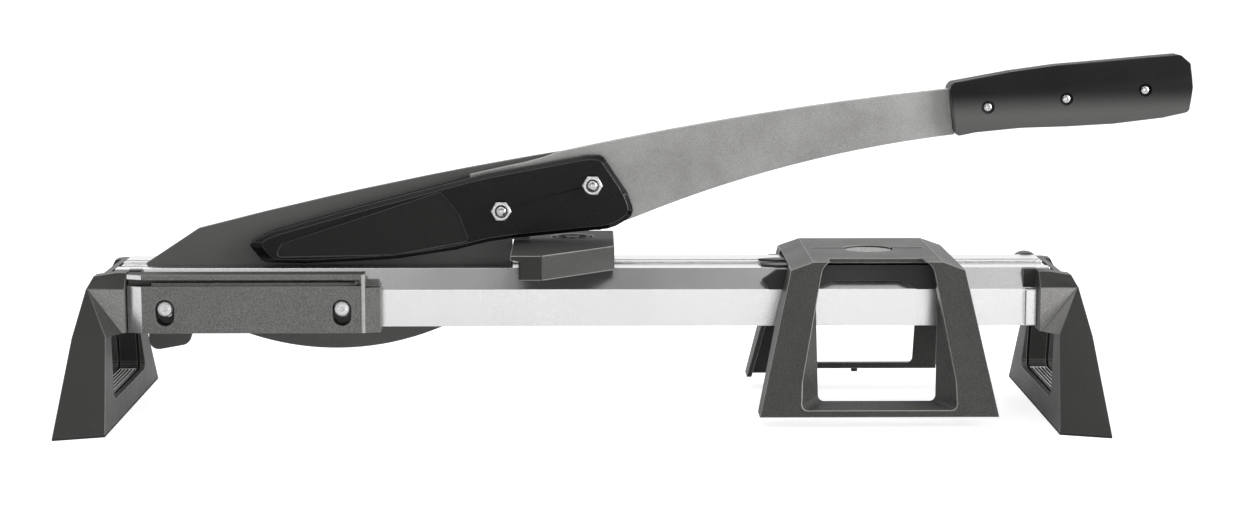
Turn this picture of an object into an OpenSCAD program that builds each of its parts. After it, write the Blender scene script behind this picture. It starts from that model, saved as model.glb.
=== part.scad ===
// Laminate cutter: a lever with a curved blade that swings through a slotted aluminium rail,
// on two splayed feet, with a mitre fence, a front guide plate and a sliding work support.
// Millimetres. X runs along the rail, Y from front to back, Z up from the table.

/* [Rail] */
// Length of the aluminium rail
rail_len = 568; // [520:1:640]
// Depth of the rail from front to back
rail_depth = 60.5; // [58:0.5:66]
// Height of the rail
rail_h = 35; // [33:0.5:40]
// Height of the rail's underside above the table
rail_lift = 55.2; // [52:0.2:64]
// Wall of the extrusion
rail_wall = 2.4; // [2:0.1:2.8]
// Height of the set-back band along the top front edge
band_h = 12.4; // [10:0.2:15]
// How far the band's top edge is set back
band_back = 5.4; // [3:0.1:7]
// Width of the shallow channel in the rail's top
channel_w = 19.2; // [15:0.1:20]
// Depth of the shallow channel
channel_d = 1.2; // [0.6:0.1:1.8]
// Clear width between the two webs that flank the blade
web_gap = 9; // [8:0.1:10]
// Distance of the clamping groove behind the rail's middle
groove_off = 9.5; // [9:0.1:11]
// Mouth width of the clamping groove
groove_w = 4.4; // [4.3:0.1:5]

/* [Feet] */
// Clear distance between the feet at the table
foot_gap = 560; // [500:1:632]
// Width of a foot at the table, along the rail
foot_w = 29; // [26:0.5:36]
// Depth of a foot at its inner edge
foot_d = 181.2; // [170:0.2:200]
// Extra depth of a foot on each side at its outer edge
foot_splay = 10.1; // [6:0.1:14]
// Thickness of the head in front of and behind the rail
head_t = 15; // [12:0.5:18]
// How far the head laps over the rail's end
head_lap = 9.2; // [8:0.2:14]
// Thickness of the rubber sole
sole_t = 1.5; // [1:0.1:3]

/* [Guide plate] */
// Length of the guide plate between its bevels
plate_len = 133.4; // [120:0.2:150]
// Thickness of the guide plate
plate_t = 14; // [12:0.5:17]
// Height of the guide plate
plate_h = 35.6; // [34:0.2:38]
// How far the guide plate can be raised
plate_lift = 4.6; // [3:0.1:5]
// Width of the end bevels
plate_bevel = 9.4; // [5:0.2:9.4]

/* [Lever] */
// Distance of the blade's plane in front of the rail's middle
lever_off = 7; // [6:0.1:8]
// Thickness of the blade
blade_t = 4; // [3:0.1:4.4]
// Radius of the curved cutting edge
belly_r = 165; // [160:1:170]
// Thickness of the lever bar
bar_t = 6; // [5:0.1:7]
// Reach of the lever from its pivot to the end of the grip
lever_reach = 620.2; // [580:1:640]
// Rise of the lever's bar from its pivot to its far top corner
lever_rise = 159.8; // [150:0.2:166]
// Thickness of the front cover
front_cover_t = 12; // [10.5:0.1:14]
// Thickness of the rear cover
rear_cover_t = 8; // [6:0.1:9]
// Thickness of the whole grip
grip_t = 25; // [22:0.5:30]

/* [Fence] */
// Width of the fence block along the rail, at its widest
fence_w = 56.7; // [50:0.1:64]
// Height of the fence block
fence_h = 14.7; // [13:0.1:18]
// How far the fence stands out in front of the rail
fence_out = 47; // [40:0.5:55]
// Outside diameter of the clamping knob
knob_d = 22.5; // [20:0.5:26]

/* [Support] */
// Place of the support's middle along the rail
support_x = 176; // [165:1:185]
// Width of the support at its foot
support_w = 142.8; // [134:0.2:150]
// Depth of the support at its foot
support_d = 145.4; // [140:0.2:152]
// Height of the support's top above the table
support_top = 97.7; // [97.2:0.1:102]
// Height of the support's lower edge above the table
support_clear = 7; // [4:0.5:10]
// Wall of the support's moulding
support_wall = 3; // [2.4:0.1:3.6]

/* [Fits] */
// Gap between parts that slide or turn on each other
fit_gap = 0.1; // [0.1:0.05:0.3]
// Radial clearance of the pivot
pivot_fit = 0.05; // [0.03:0.01:0.08]

/* [Hidden] */

$fn = 48;
overrun = 1;
sliver = 0.05;
flat_angle = 89;

// Rail, worked out from its driving sizes
rail_top = rail_lift + rail_h;
rail_end = rail_len / 2;
rail_front = -rail_depth / 2;
channel_floor = rail_top - channel_d;
web_t = 2.2;
flange_w = 6;
port_r = 3.6;
port_bore_r = 2;
port_inset = 3.1;
port_z = rail_lift + rail_h / 7;
tee_w = 10;
tee_h = 4.2;
tee_roof = rail_top - rail_wall;
trough_wall = 1.5;

// Lever frame: the pivot is its origin
pivot_x = -252;
pivot_rise = 6.8;
pivot_z = rail_lift + pivot_rise;
pin_r = 4;
bush_r = 6;
lever_y = -lever_off;
blade_front = lever_y - blade_t / 2;
blade_rear = lever_y + blade_t / 2;
bar_front = blade_front - bar_t;
slot_gap = 0.5;
slot_w = blade_t + 2 * slot_gap;
blade_reach = 207;
slot_end = pivot_x + blade_reach + 3 * slot_gap;

// The part stands with the middle of its outline box over the origin
foot_out = foot_gap / 2 + foot_w;
rail_x0 = (foot_out - pivot_x - lever_reach) / 2;

// Feet
head_drop = 1.2;
shoulder_drop = 9.6;
cap_sink = 0.4;
cap_slope = 6.8;
cap_flat = 6;
cap_lean = 3.8;
cap_fall = 2;
rear_fall = 1.4;
crown_w = 15;
crown_in = 12.5;
crown_rise = 1.4;
crown_side = 2;
wall_gap = 2.2;
wall_gap_d = 7;
blade_relief = 1.8;
end_wall = 6;
leg_lean = rail_end - foot_gap / 2;
outer_lean = 5.4;
brow_lean = 11;
brow_w = 1;
brow_in = 2;
head_z = rail_lift - head_drop;
shoulder_z = rail_top - shoulder_drop;
cap_z = rail_top - cap_sink;
head_half = rail_depth / 2 + head_t;
window_z = 14.5;
window_h = 37.5;
window_half = 53.5;
window_lean = 9.5;
window_r = 5;
liner_t = 3;
liner_in = 2;
liner_w = 11;
liner_slit = 1.5;
sill_rib_w = 1.2;
sill_rib_h = 1;
sill_ribs = 5;
tab_len = 8;
tab_h = 11.5;
tab_in = 0.2;
foot_screw_r = 1.9;
foot_screw_len = 18;
foot_head_r = 3.8;
foot_head_h = 2.6;

// Guide plate
plate_x0 = -265;
plate_drop = 1.7;
plate_z0 = rail_lift - plate_drop;
plate_top = plate_z0 + plate_h;
lip_h = 3.2;
plate_groove_h = 3.8;
plate_groove_d = 8;
plate_rib_in = 5.5;
plate_rib_back = 3;
bevel_depth = 3.6;
bevel_drop = 8.4;
edge_w = 2;
edge_depth = 0.7;
plate_wall = 3.2;
screw_inset = 13.6;
screw_up = 14.7;
screw_z = plate_z0 + screw_up;
screw_head_r = 5;
screw_head_h = 3;
screw_shank_r = 2.2;
screw_slot_r = 5.7;
nut_side = 8;
clip_len = 8.5;
clip_h = 5;
clip_t = 3;

// Lever outlines are shares of a length and a rise, from the pivot
tip_back = 16.2;
tip_share = 0.182;
tip_up = tip_share * lever_rise;
brow_x = 16.5;
brow_share = 0.3173;
brow_up = brow_share * lever_rise;
back_bow = 3.3;
tang_x = 262;
tang_share = 0.636;
tang_up = tang_share * lever_rise;
lobe_r = 6;
lobe_x = 4.4;
lobe_drop = 15.9;
lobe_back = 9.5;
lobe_back_drop = 18.4;
eye_r = 15;
ground_w = 7;
ground_t = 1.6;
cover_x = 47.9;
cover_low_share = 0.1884;
cover_z = cover_low_share * lever_rise;
cover_len = 235.7;
cover_rise_share = 0.4149;
cover_rise = cover_rise_share * lever_rise;
cover_r = 1.2;
cover_shares = [
    [0, 0.186], [0.037, 0.015], [0.14, 0], [0.377, 0.041], [0.536, 0.127], [0.615, 0.198],
    [0.682, 0.234], [0.772, 0.267], [0.939, 0.323], [1, 0.451], [0.978, 0.664], [0.946, 0.831],
    [0.915, 1], [0.875, 1], [0.616, 0.831], [0.497, 0.719], [0.3, 0.537], [0.064, 0.297]
];
label_shares = [
    [0.07, 0.065], [0.086, 0.184], [0.497, 0.664], [0.544, 0.466], [0.571, 0.211], [0.377, 0.084]
];
label_d = 1;
bar_top_shares = [[0.382, 0.612], [0.578, 0.756], [0.765, 0.852]];
bar_low_shares = [[0.459, 0.366], [0.58, 0.529], [0.77, 0.678]];
bar_start = 184;
bar_low_share = 0.313;
bar_start_low = bar_low_share * lever_rise;
bar_top_share = 0.494;
bar_start_top = bar_top_share * lever_rise;
tang_len = 118;
tang_h = 20;
bolt_r = 3;
bolt_hole_r = 3.1;
bolt_shares = [[0.772, 0.618], [0.983, 0.771]];
bolt_places = [for (s = bolt_shares) [s[0] * tang_x, s[1] * tang_up]];
nut_af = 10;
nut_h = 5;
bolt_head_r = 5.4;
bolt_head_h = 3.2;
bolt_end = 1.4;
grip_len = 147.2;
grip_drop = 49.2;
grip_x = lever_reach - grip_len;
grip_low_share = 0.6746;
grip_z = grip_low_share * lever_rise;
grip_r = 3.5;
grip_shares = [
    [0.003, 0.585], [0.016, 0.657], [0.245, 0.785], [0.445, 0.87], [0.671, 0.927], [0.828, 0.97],
    [0.951, 1], [0.989, 0.896], [1, 0.604], [0.995, 0.289], [0.895, 0.221], [0.679, 0.142],
    [0.492, 0.112], [0.302, 0.098], [0.115, 0.043], [0.043, 0], [0.029, 0.037]
];
grip_mid = bar_front + bar_t / 2;
grip_crown_r = 34;
grip_tilt = 6.6;
grip_screw_shares = [[0.159, 0.362], [0.481, 0.463], [0.804, 0.571]];
grip_screw_r = 2;
grip_head_r = 2.9;
grip_sink_r = 4;
grip_sink = 3;
grip_gap = 0.6;

// Fence
fence_stand = 2.1;
fence_front_w = 13.7;
fence_ledge = 4.9;
fence_x = pivot_x + blade_reach + fence_stand + fence_ledge + fence_w;
fence_ledge_t = 3;
fence_rear = 5.8;
fence_hook = 6;
fence_z = rail_top + fit_gap;
fence_top = fence_z + fence_h;
knob_in = 25.7;
knob_x = fence_x - knob_in;
knob_y = groove_off;
knob_sink = 4;
knob_rim = 2;
knob_hub_r = 4.2;
knob_spokes = 6;
knob_spoke_w = 1.6;
clamp_r = 2;
nut_plate_len = 16;
nut_plate_h = 3;

// Support
support_flat = 38.8;
support_shoulder = 52.2;
support_chamfer = 4.8;
support_top_half = 53.3;
support_leg_d = 17;
window_foot_half = 48;
window_back_half = 34;
window_top_half = 34;
support_sill = 7;
rear_sill = 10;
support_bar_raise = 5.6;
rear_gap_half = 54;
window_top_r = 10;
window_over = 1.1;
window_under = 4;
window_through = 3;
notch_back = 38.2;
notch_narrow = 1;
flange_top_d = 9;
hook_w = 4;
hook_off = 1;
hook_h = 3.8;
support_corner_r = 4;
rail_play = 0.4;
hole_d = 31;
hole_back = 4.5;
pad_gap = 0.3;
pad_sink = 1.2;
slit_back = 8.5;
slit_len = 69.3;
slit_w = 5;
saddle_t = 2.6;
saddle_skirt = 5;
tongue_out = 19;
tongue_tip = 4.5;
skirt_arch = 15;
skirt_arch_left = 24;
skirt_slope = 11;

// Plan and profile helpers
function unit(v) = v / norm(v);
function scaled(shares, x, z, l, h) = [for (s = shares) [x + s[0] * l, z + s[1] * h]];
function mirrored(pts) = concat(pts, [for (i = [len(pts) - 1:-1:0]) [-pts[i][0], pts[i][1]]]);

// Points on the arc that passes through three points
function arc3(a, b, c, steps) =
    let (
        d = 2 * (a[0] * (b[1] - c[1]) + b[0] * (c[1] - a[1]) + c[0] * (a[1] - b[1])),
        qa = a * a,
        qb = b * b,
        qc = c * c,
        m = [
            (qa * (b[1] - c[1]) + qb * (c[1] - a[1]) + qc * (a[1] - b[1])) / d,
            (qa * (c[0] - b[0]) + qb * (a[0] - c[0]) + qc * (b[0] - a[0])) / d
        ],
        r = norm(a - m),
        t0 = atan2(a[1] - m[1], a[0] - m[0]),
        turn = atan2(c[1] - m[1], c[0] - m[0]) - t0,
        sweep = turn > 180 ? turn - 360 : turn < -180 ? turn + 360 : turn
    )
    [for (i = [0:steps]) m + r * [cos(t0 + sweep * i / steps), sin(t0 + sweep * i / steps)]];

// Points that round one corner of an outline
function corner(a, b, c, r, steps) =
    let (
        u = unit(a - b),
        v = unit(c - b),
        half = acos(max(-1, min(1, u * v))) / 2,
        reach = min(r / tan(half), 0.45 * norm(a - b), 0.45 * norm(c - b)),
        rr = reach * tan(half),
        m = b + unit(u + v) * rr / sin(half),
        p = b + u * reach - m,
        q = b + v * reach - m,
        t0 = atan2(p[1], p[0]),
        turn = atan2(q[1], q[0]) - t0,
        sweep = turn > 180 ? turn - 360 : turn < -180 ? turn + 360 : turn
    )
    half > flat_angle ? [b] : [for (i = [0:steps]) m + rr * [cos(t0 + sweep * i / steps), sin(t0 + sweep * i / steps)]];

function rounded(pts, r, steps = 5) = [
    for (i = [0:len(pts) - 1])
        each corner(pts[(i + len(pts) - 1) % len(pts)], pts[i], pts[(i + 1) % len(pts)], r, steps)
];

module at_rail() {
    translate([rail_x0, 0, 0]) children();
}

module at_pivot() {
    translate([rail_x0 + pivot_x, 0, pivot_z]) children();
}

// Extrudes an outline of [Y, Z] points along X
module along_x(x, length) {
    translate([x, 0, 0]) rotate([90, 0, 90]) linear_extrude(length) children();
}

// Extrudes an outline of [X, Z] points along Y
module along_y(y, length) {
    translate([0, y + length, 0]) rotate([90, 0, 0]) linear_extrude(length) children();
}

module rod(x, y, z, r, length) {
    translate([x, y + length, z]) rotate([90, 0, 0]) cylinder(r = r, h = length);
}

// Rail
module rail_outline() {
    polygon([
        [rail_front, rail_lift], [-rail_front, rail_lift], [-rail_front, rail_top],
        [rail_front + band_back, rail_top], [rail_front, rail_top - band_h]
    ]);
}

module rail_cavities() {
    front_web = lever_y - web_gap / 2 - web_t;
    rear_web = lever_y + web_gap / 2 + web_t;
    roof = channel_floor - rail_wall;
    inner_top = rail_top - band_h - rail_wall / 2;
    polygon([
        [rail_front + rail_wall, rail_lift + rail_wall], [front_web, rail_lift + rail_wall],
        [front_web, roof], [rail_front + band_back + rail_wall, roof], [rail_front + rail_wall, inner_top]
    ]);
    translate([rail_front + rail_wall + flange_w, rail_lift - overrun])
        square([front_web - rail_front - rail_wall - flange_w, rail_wall + 2 * overrun]);
    translate([lever_y - web_gap / 2, rail_lift - overrun]) square([web_gap, roof - rail_lift + overrun]);
    difference() {
        translate([rear_web, rail_lift - overrun])
            square([-rail_front - rail_wall - rear_web, roof - rail_lift + overrun]);
        translate([groove_off - tee_w / 2 - trough_wall, tee_roof - tee_h - trough_wall])
            square([tee_w + 2 * trough_wall, rail_h]);
        translate([-rail_front - rail_wall - flange_w, rail_lift - overrun])
            square([flange_w, rail_wall + overrun]);
    }
    translate([groove_off - tee_w / 2, tee_roof - tee_h]) square([tee_w, tee_h]);
    translate([groove_off - groove_w / 2, tee_roof - sliver]) square([groove_w, rail_wall + overrun]);
    translate([lever_y - channel_w / 2, channel_floor]) square([channel_w, channel_d + overrun]);
}

module rail_ports() {
    for (side = [-1, 1]) translate([side * (-rail_front - rail_wall - port_inset), port_z]) children();
}

module base_rail() {
    color("gainsboro") at_rail() difference() {
        along_x(-rail_end, rail_len) difference() {
            union() {
                difference() {
                    rail_outline();
                    rail_cavities();
                }
                rail_ports() circle(port_r);
            }
            rail_ports() circle(port_bore_r);
        }
        translate([-rail_end - overrun, lever_y - slot_w / 2, channel_floor - rail_wall - overrun])
            cube([rail_end + overrun + slot_end, slot_w, rail_wall + 2 * overrun]);
        rod(pivot_x, lever_y - web_gap / 2 - web_t - overrun, pivot_z, pin_r + pivot_fit,
            web_gap + 2 * (web_t + overrun));
        for (x = guide_screw_xs())
            rod(x, rail_front - overrun, screw_z, screw_shank_r + fit_gap, rail_wall + 2 * overrun);
    }
}

// Feet: the right foot is modelled and the left one is its mirror image
function leg_plan(x_in, x_out, half_in, half_out) = [
    [x_in, -half_in], [x_out, -half_out], [x_out, half_out], [x_in, half_in]
];
function window_pts(grow) = mirrored([
    [-window_half - grow, window_z - grow],
    [-window_half + window_lean - grow, window_z + window_h + grow]
]);

module slab(z, pts) {
    translate([0, 0, z]) linear_extrude(sliver) polygon(pts);
}

module foot_solid() {
    outer_half = foot_d / 2 + foot_splay;
    mid_share = head_z / shoulder_z;
    mid_in = foot_d / 2 + (head_half - foot_d / 2) * mid_share;
    mid_out = outer_half + (head_half - outer_half) * mid_share;
    mid_plan = leg_plan(rail_end, foot_out - outer_lean, mid_in, mid_out);
    hull() {
        slab(sole_t, leg_plan(foot_gap / 2, foot_out, foot_d / 2, outer_half));
        slab(head_z, mid_plan);
    }
    hull() {
        slab(head_z, concat(
            [[rail_end - head_lap + brow_in, -head_half]], mid_plan, [[rail_end - head_lap + brow_in, head_half]]
        ));
        slab(shoulder_z, leg_plan(foot_out - brow_lean - brow_w, foot_out - brow_lean, head_half, head_half));
    }
    difference() {
        intersection() {
            along_x(rail_end - head_lap, foot_out - brow_lean - rail_end + head_lap) polygon([
                [-head_half, head_z], [-head_half, shoulder_z], [-head_half + cap_slope, cap_z],
                [head_half - cap_slope, cap_z - rear_fall], [head_half, shoulder_z], [head_half, head_z]
            ]);
            along_y(-head_half, 2 * head_half) polygon([
                [rail_end - head_lap, head_z], [rail_end - head_lap, cap_z],
                [rail_end - head_lap + cap_flat, cap_z],
                [foot_out - brow_lean - cap_lean, cap_z - cap_fall],
                [foot_out - brow_lean, shoulder_z], [foot_out - brow_lean, head_z]
            ]);
        }
        translate([rail_end + end_wall, rail_front, shoulder_z])
            cube([foot_w, rail_depth, rail_h]);
        along_x(rail_end - head_lap - overrun, foot_w + head_lap)
            translate([rail_front + band_back, rail_top - channel_d / 2])
                square([rail_depth - 2 * band_back, rail_h]);
    }
    for (side = [0, 1]) mirror([0, side, 0])
        along_x(rail_end - head_lap - tab_len, tab_len + sliver)
            translate([rail_front + tab_in, rail_top - tab_h]) square([band_back - tab_in, tab_h]);
}

// The right foot's rear cap has a low crown that shows over the rail
module rear_crown() {
    x = rail_end - crown_in;
    low = rail_top - crown_side;
    along_y(-rail_front, head_half - cap_slope + rail_front) polygon(concat(
        [[x, shoulder_z]],
        arc3([x, low], [x + crown_w / 2, rail_top + crown_rise], [x + crown_w, low], 10),
        [[x + crown_w, shoulder_z]]
    ));
}

module foot_cuts() {
    translate([rail_end - sliver, lever_y - slot_w / 2, pivot_z]) cube([blade_relief + sliver, slot_w, rail_h]);
    translate([rail_end - sliver, rail_front + overrun, rail_top - wall_gap_d])
        cube([wall_gap + sliver, rail_depth - 2 * overrun, rail_h]);
    along_x(rail_end - head_lap - tab_len - overrun, head_lap + tab_len + overrun) rail_outline();
    along_x(foot_gap / 2 - overrun, foot_w + 2 * overrun) polygon(rounded(window_pts(0), window_r));
    along_x(foot_gap / 2 + leg_lean + sliver + liner_in - liner_slit, liner_w + 2 * liner_slit)
        polygon(rounded(window_pts(liner_t), window_r + liner_t));
    for (y = [-1, 1] * (-rail_front - rail_wall - port_inset)) translate([rail_end, y, port_z]) rotate([0, 90, 0]) {
        translate([0, 0, -overrun]) cylinder(r = foot_screw_r + fit_gap, h = foot_w);
        translate([0, 0, end_wall]) cylinder(r = foot_head_r + 2 * fit_gap, h = foot_w);
    }
}

module foot(side) {
    color("dimgray") at_rail() scale([side, 1, 1]) difference() {
        union() {
            foot_solid();
            if (side > 0) rear_crown();
        }
        foot_cuts();
    }
}

// The liner is a dark sleeve in the window, with fine ribs along its sill
module foot_liner(side) {
    ribs_half = window_half - window_r - liner_t;
    color("#2f2f2e") at_rail() scale([side, 1, 1]) {
        along_x(foot_gap / 2 + leg_lean + sliver + liner_in, liner_w) difference() {
            polygon(rounded(window_pts(liner_t - sliver), window_r + liner_t));
            polygon(rounded(window_pts(0), window_r));
        }
        for (i = [0:sill_ribs - 1])
            translate([
                foot_gap / 2 + leg_lean + liner_in + (i + 0.5) * liner_w / sill_ribs - sill_rib_w / 2,
                -ribs_half, window_z - sliver
            ])
                cube([sill_rib_w, 2 * ribs_half, sill_rib_h]);
    }
}

module left_foot() { foot(-1); }
module right_foot() { foot(1); }
module left_foot_liner() { foot_liner(-1); }
module right_foot_liner() { foot_liner(1); }

module foot_soles() {
    color("#1c1c1c") at_rail() for (side = [-1, 1]) scale([side, 1, 1])
        linear_extrude(sole_t)
            polygon(leg_plan(foot_gap / 2, foot_out, foot_d / 2, foot_d / 2 + foot_splay));
}

module foot_screws() {
    color("silver") at_rail() for (side = [-1, 1], y = [-1, 1] * (-rail_front - rail_wall - port_inset))
        scale([side, 1, 1]) translate([rail_end + end_wall, y, port_z]) rotate([0, 90, 0]) {
            translate([0, 0, -foot_screw_len]) cylinder(r = foot_screw_r, h = foot_screw_len + sliver);
            cylinder(r = foot_head_r, h = foot_head_h);
        }
}

// Guide plate
function guide_screw_xs() = [plate_x0 + screw_inset, plate_x0 + plate_len - screw_inset];

module plate_section() {
    groove_z = plate_top - lip_h - plate_groove_h;
    difference() {
        translate([rail_front - plate_t, plate_z0]) square([plate_t - fit_gap, plate_h]);
        translate([rail_front - plate_t - overrun, groove_z])
            square([plate_groove_d + overrun, plate_groove_h]);
    }
}

// The screw holes are slots, so that the plate can be raised
module screw_slot(x, r, y, length) {
    hull() {
        rod(x, y, screw_z, r, length);
        rod(x, y, screw_z - plate_lift, r, length);
    }
}

module guide_plate() {
    front = rail_front - plate_t;
    back = rail_front - fit_gap;
    groove_z = plate_top - lip_h - plate_groove_h;
    body_plan = [
        [plate_x0, front], [plate_x0 + plate_len - edge_w, front],
        [plate_x0 + plate_len, front + edge_depth],
        [plate_x0 + plate_len + plate_bevel, front + bevel_depth], [plate_x0 + plate_len + plate_bevel, back],
        [plate_x0 - plate_bevel, back], [plate_x0 - plate_bevel, front + bevel_depth]
    ];
    color("#3c3c3b") at_rail() difference() {
        union() {
            along_x(plate_x0, plate_len) plate_section();
            translate([0, 0, plate_z0]) linear_extrude(plate_h - bevel_drop) polygon(body_plan);
            translate([0, 0, plate_z0]) linear_extrude(plate_h) polygon([
                [plate_x0 + sliver, front], [plate_x0 + sliver, back],
                [plate_x0 - plate_bevel, back], [plate_x0 - plate_bevel, front + bevel_depth], [plate_x0, front]
            ]);
            translate([plate_x0 + plate_rib_in, front + plate_rib_back, groove_z - sliver])
                cube([plate_len - 2 * plate_rib_in, plate_groove_d - plate_rib_back, plate_groove_h / 2]);
            translate([plate_x0 + plate_len - sliver, back - clip_t, groove_z - clip_h / 2])
                cube([clip_len, clip_t, clip_h]);
        }
        translate([plate_x0 - plate_bevel - overrun, front - overrun, groove_z])
            cube([plate_bevel + 2 * overrun, plate_groove_d + overrun, plate_groove_h]);
        for (x = guide_screw_xs()) {
            screw_slot(x, screw_slot_r, front - overrun, plate_t - plate_wall + overrun);
            screw_slot(x, screw_shank_r + fit_gap, front, plate_t + overrun);
        }
    }
}

module guide_plate_screws() {
    seat = rail_front - plate_wall - fit_gap;
    shank = plate_wall + rail_wall + nut_plate_h + fit_gap;
    color("silver") at_rail() for (x = guide_screw_xs()) difference() {
        union() {
            rod(x, seat, screw_z, screw_shank_r, shank);
            rod(x, seat - screw_head_h, screw_z, screw_head_r, screw_head_h + sliver);
        }
        for (turn = [0, 90]) translate([x, seat - screw_head_h, screw_z]) rotate([0, turn, 0])
            cube([screw_head_r, 2 * edge_w, screw_head_r / 5], center = true);
    }
}

module guide_plate_nuts() {
    color("darkgray") at_rail() for (x = guide_screw_xs()) difference() {
        translate([x - nut_side / 2, rail_front + rail_wall, screw_z - nut_side / 2])
            cube([nut_side, nut_plate_h, nut_side]);
        rod(x, rail_front, screw_z, screw_shank_r + pivot_fit, rail_wall + nut_plate_h + overrun);
    }
}

// Pivot
pivot_stack = web_gap + 2 * web_t;
pivot_y0 = lever_y - pivot_stack / 2;
pivot_head_h = 4;
pivot_head_r = 6.5;
washer_r = 8;

module pivot_bolt() {
    color("silver") at_pivot() {
        rod(0, pivot_y0 - sliver, 0, pin_r, pivot_stack + pivot_head_h + sliver);
        rod(0, pivot_y0 - pivot_head_h, 0, pivot_head_r, pivot_head_h);
    }
}

module pivot_nut() {
    color("silver") at_pivot() difference() {
        translate([0, pivot_y0 + pivot_stack + pivot_head_h, 0]) rotate([90, 30, 0])
            cylinder(r = pivot_head_r, h = pivot_head_h, $fn = 6);
        rod(0, pivot_y0 + pivot_stack - overrun, 0, pin_r + pivot_fit, pivot_head_h + 2 * overrun);
    }
}

module pivot_washers() {
    thick = (web_gap - blade_t) / 2 - fit_gap;
    color("silver") at_pivot() for (y = [blade_front - fit_gap / 2 - thick, blade_rear + fit_gap / 2]) difference() {
        rod(0, y, 0, washer_r, thick);
        rod(0, y - overrun, 0, pin_r + pivot_fit, thick + 2 * overrun);
    }
}

module pivot_bush() {
    color("darkgoldenrod") at_pivot() difference() {
        rod(0, blade_front, 0, bush_r, blade_t);
        rod(0, blade_front - overrun, 0, pin_r + pivot_fit, blade_t + 2 * overrun);
    }
}

// Lever
belly_x = 100;
belly_drop = 24;
belly_top = 27;
belly_mid = [belly_x, belly_r - belly_drop];

module bolt_holes(y, length) {
    for (p = bolt_places) rod(p[0], y, p[1], bolt_hole_r, length);
}

module blade_back() {
    top = arc3([brow_x, brow_up], [(brow_x + tang_x) / 2, (brow_up + tang_up) / 2 + back_bow], [tang_x, tang_up], 12);
    polygon(concat(
        [[-tip_back, tip_up]], top,
        [[tang_x + lobe_r, bolt_places[1][1] - lobe_r], [tang_x, cover_z + cover_rise / 2.4],
         [blade_reach, cover_z + cover_rise / 4], [blade_reach, belly_top - overrun], [-tip_back + bush_r, belly_top - bush_r]]
    ));
}

module blade_belly() {
    belly_foot = belly_mid[1] - belly_r;
    intersection() {
        translate(belly_mid) circle(belly_r, $fn = 180);
        translate([bush_r + overrun, belly_foot - overrun])
            square([blade_reach - bush_r - overrun, belly_top - belly_foot + overrun]);
    }
}

module blade_lobe() {
    hull() {
        circle(eye_r);
        translate([-lobe_back, -lobe_back_drop]) circle(lobe_r);
        translate([lobe_x, -lobe_drop]) circle(lobe_r);
    }
}

// The cutting edge is ground on the front side, along the belly
module belly_grind() {
    intersection() {
        translate([belly_mid[0], blade_front, belly_mid[1]]) rotate([90, 0, 0])
            rotate_extrude($fn = 180) polygon([
                [belly_r - ground_w, overrun / 4], [belly_r - ground_w, 0],
                [belly_r + overrun, -ground_t], [belly_r + overrun, overrun / 4]
            ]);
        translate([eye_r * 1.6, blade_front - overrun, -belly_r / 2])
            cube([blade_reach, blade_t, belly_r / 2 + belly_top + overrun]);
    }
}

module blade() {
    color("#3b3b39") at_pivot() difference() {
        union() {
            along_y(blade_front, blade_t) blade_back();
            along_y(blade_front, blade_t) blade_belly();
            along_y(blade_front, blade_t) blade_lobe();
        }
        rod(0, blade_front - overrun, 0, bush_r, blade_t + 2 * overrun);
        bolt_holes(blade_front - overrun, blade_t + 2 * overrun);
        belly_grind();
    }
}

function bar_arc(shares, steps) =
    let (p = scaled(shares, 0, 0, lever_reach, lever_rise)) arc3(p[0], p[1], p[2], steps);

module bar_outline() {
    top = bar_arc(bar_top_shares, 14);
    low = bar_arc(bar_low_shares, 14);
    tang_mid = (top[14] + low[14]) / 2;
    tang_dir = [cos(grip_tilt), sin(grip_tilt)];
    tang_up_dir = [-sin(grip_tilt), cos(grip_tilt)] * tang_h / 2;
    polygon(concat(
        [[bar_start, bar_start_top], [bar_start, bar_start_low], [tang_x, bar_start_low]], low,
        [tang_mid - tang_up_dir, tang_mid + tang_dir * tang_len - tang_up_dir,
         tang_mid + tang_dir * tang_len + tang_up_dir, tang_mid + tang_up_dir],
        [for (i = [14:-1:0]) top[i]]
    ));
}

function grip_holes() = scaled(grip_screw_shares, grip_x, grip_z, grip_len, grip_drop);

module lever_bar() {
    color("darkgray") at_pivot() difference() {
        along_y(bar_front, bar_t) bar_outline();
        bolt_holes(bar_front - overrun, bar_t + 2 * overrun);
        for (p = grip_holes()) rod(p[0], bar_front - overrun, p[1], grip_screw_r + fit_gap, bar_t + 2 * overrun);
    }
}

function cover_pts() = rounded(scaled(cover_shares, cover_x, cover_z, cover_len, cover_rise), cover_r, 4);

module front_cover() {
    face = blade_front - front_cover_t;
    color("#141414") at_pivot() difference() {
        along_y(face, front_cover_t) polygon(cover_pts());
        along_y(bar_front, bar_t + overrun) offset(delta = fit_gap) bar_outline();
        along_y(face - overrun, label_d + overrun)
            polygon(rounded(scaled(label_shares, cover_x, cover_z, cover_len, cover_rise), 2 * cover_r, 4));
        bolt_holes(face - overrun, front_cover_t + 2 * overrun);
    }
}

module rear_cover() {
    color("#1d1d1d") at_pivot() difference() {
        along_y(blade_rear, rear_cover_t) polygon(cover_pts());
        bolt_holes(blade_rear - overrun, rear_cover_t + 2 * overrun);
    }
}

module lever_bolts() {
    length = front_cover_t + blade_t + rear_cover_t + nut_h + bolt_end;
    color("silver") at_pivot() for (p = bolt_places) difference() {
        union() {
            rod(p[0], blade_rear + rear_cover_t - length, p[1], bolt_r, length + sliver);
            rod(p[0], blade_rear + rear_cover_t, p[1], bolt_head_r, bolt_head_h);
        }
        translate([p[0], blade_rear + rear_cover_t + bolt_head_h + overrun, p[1]]) rotate([90, 0, 0])
            cylinder(r = bolt_r / 1.4, h = bolt_head_h / 2 + overrun, $fn = 6);
    }
}

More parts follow.
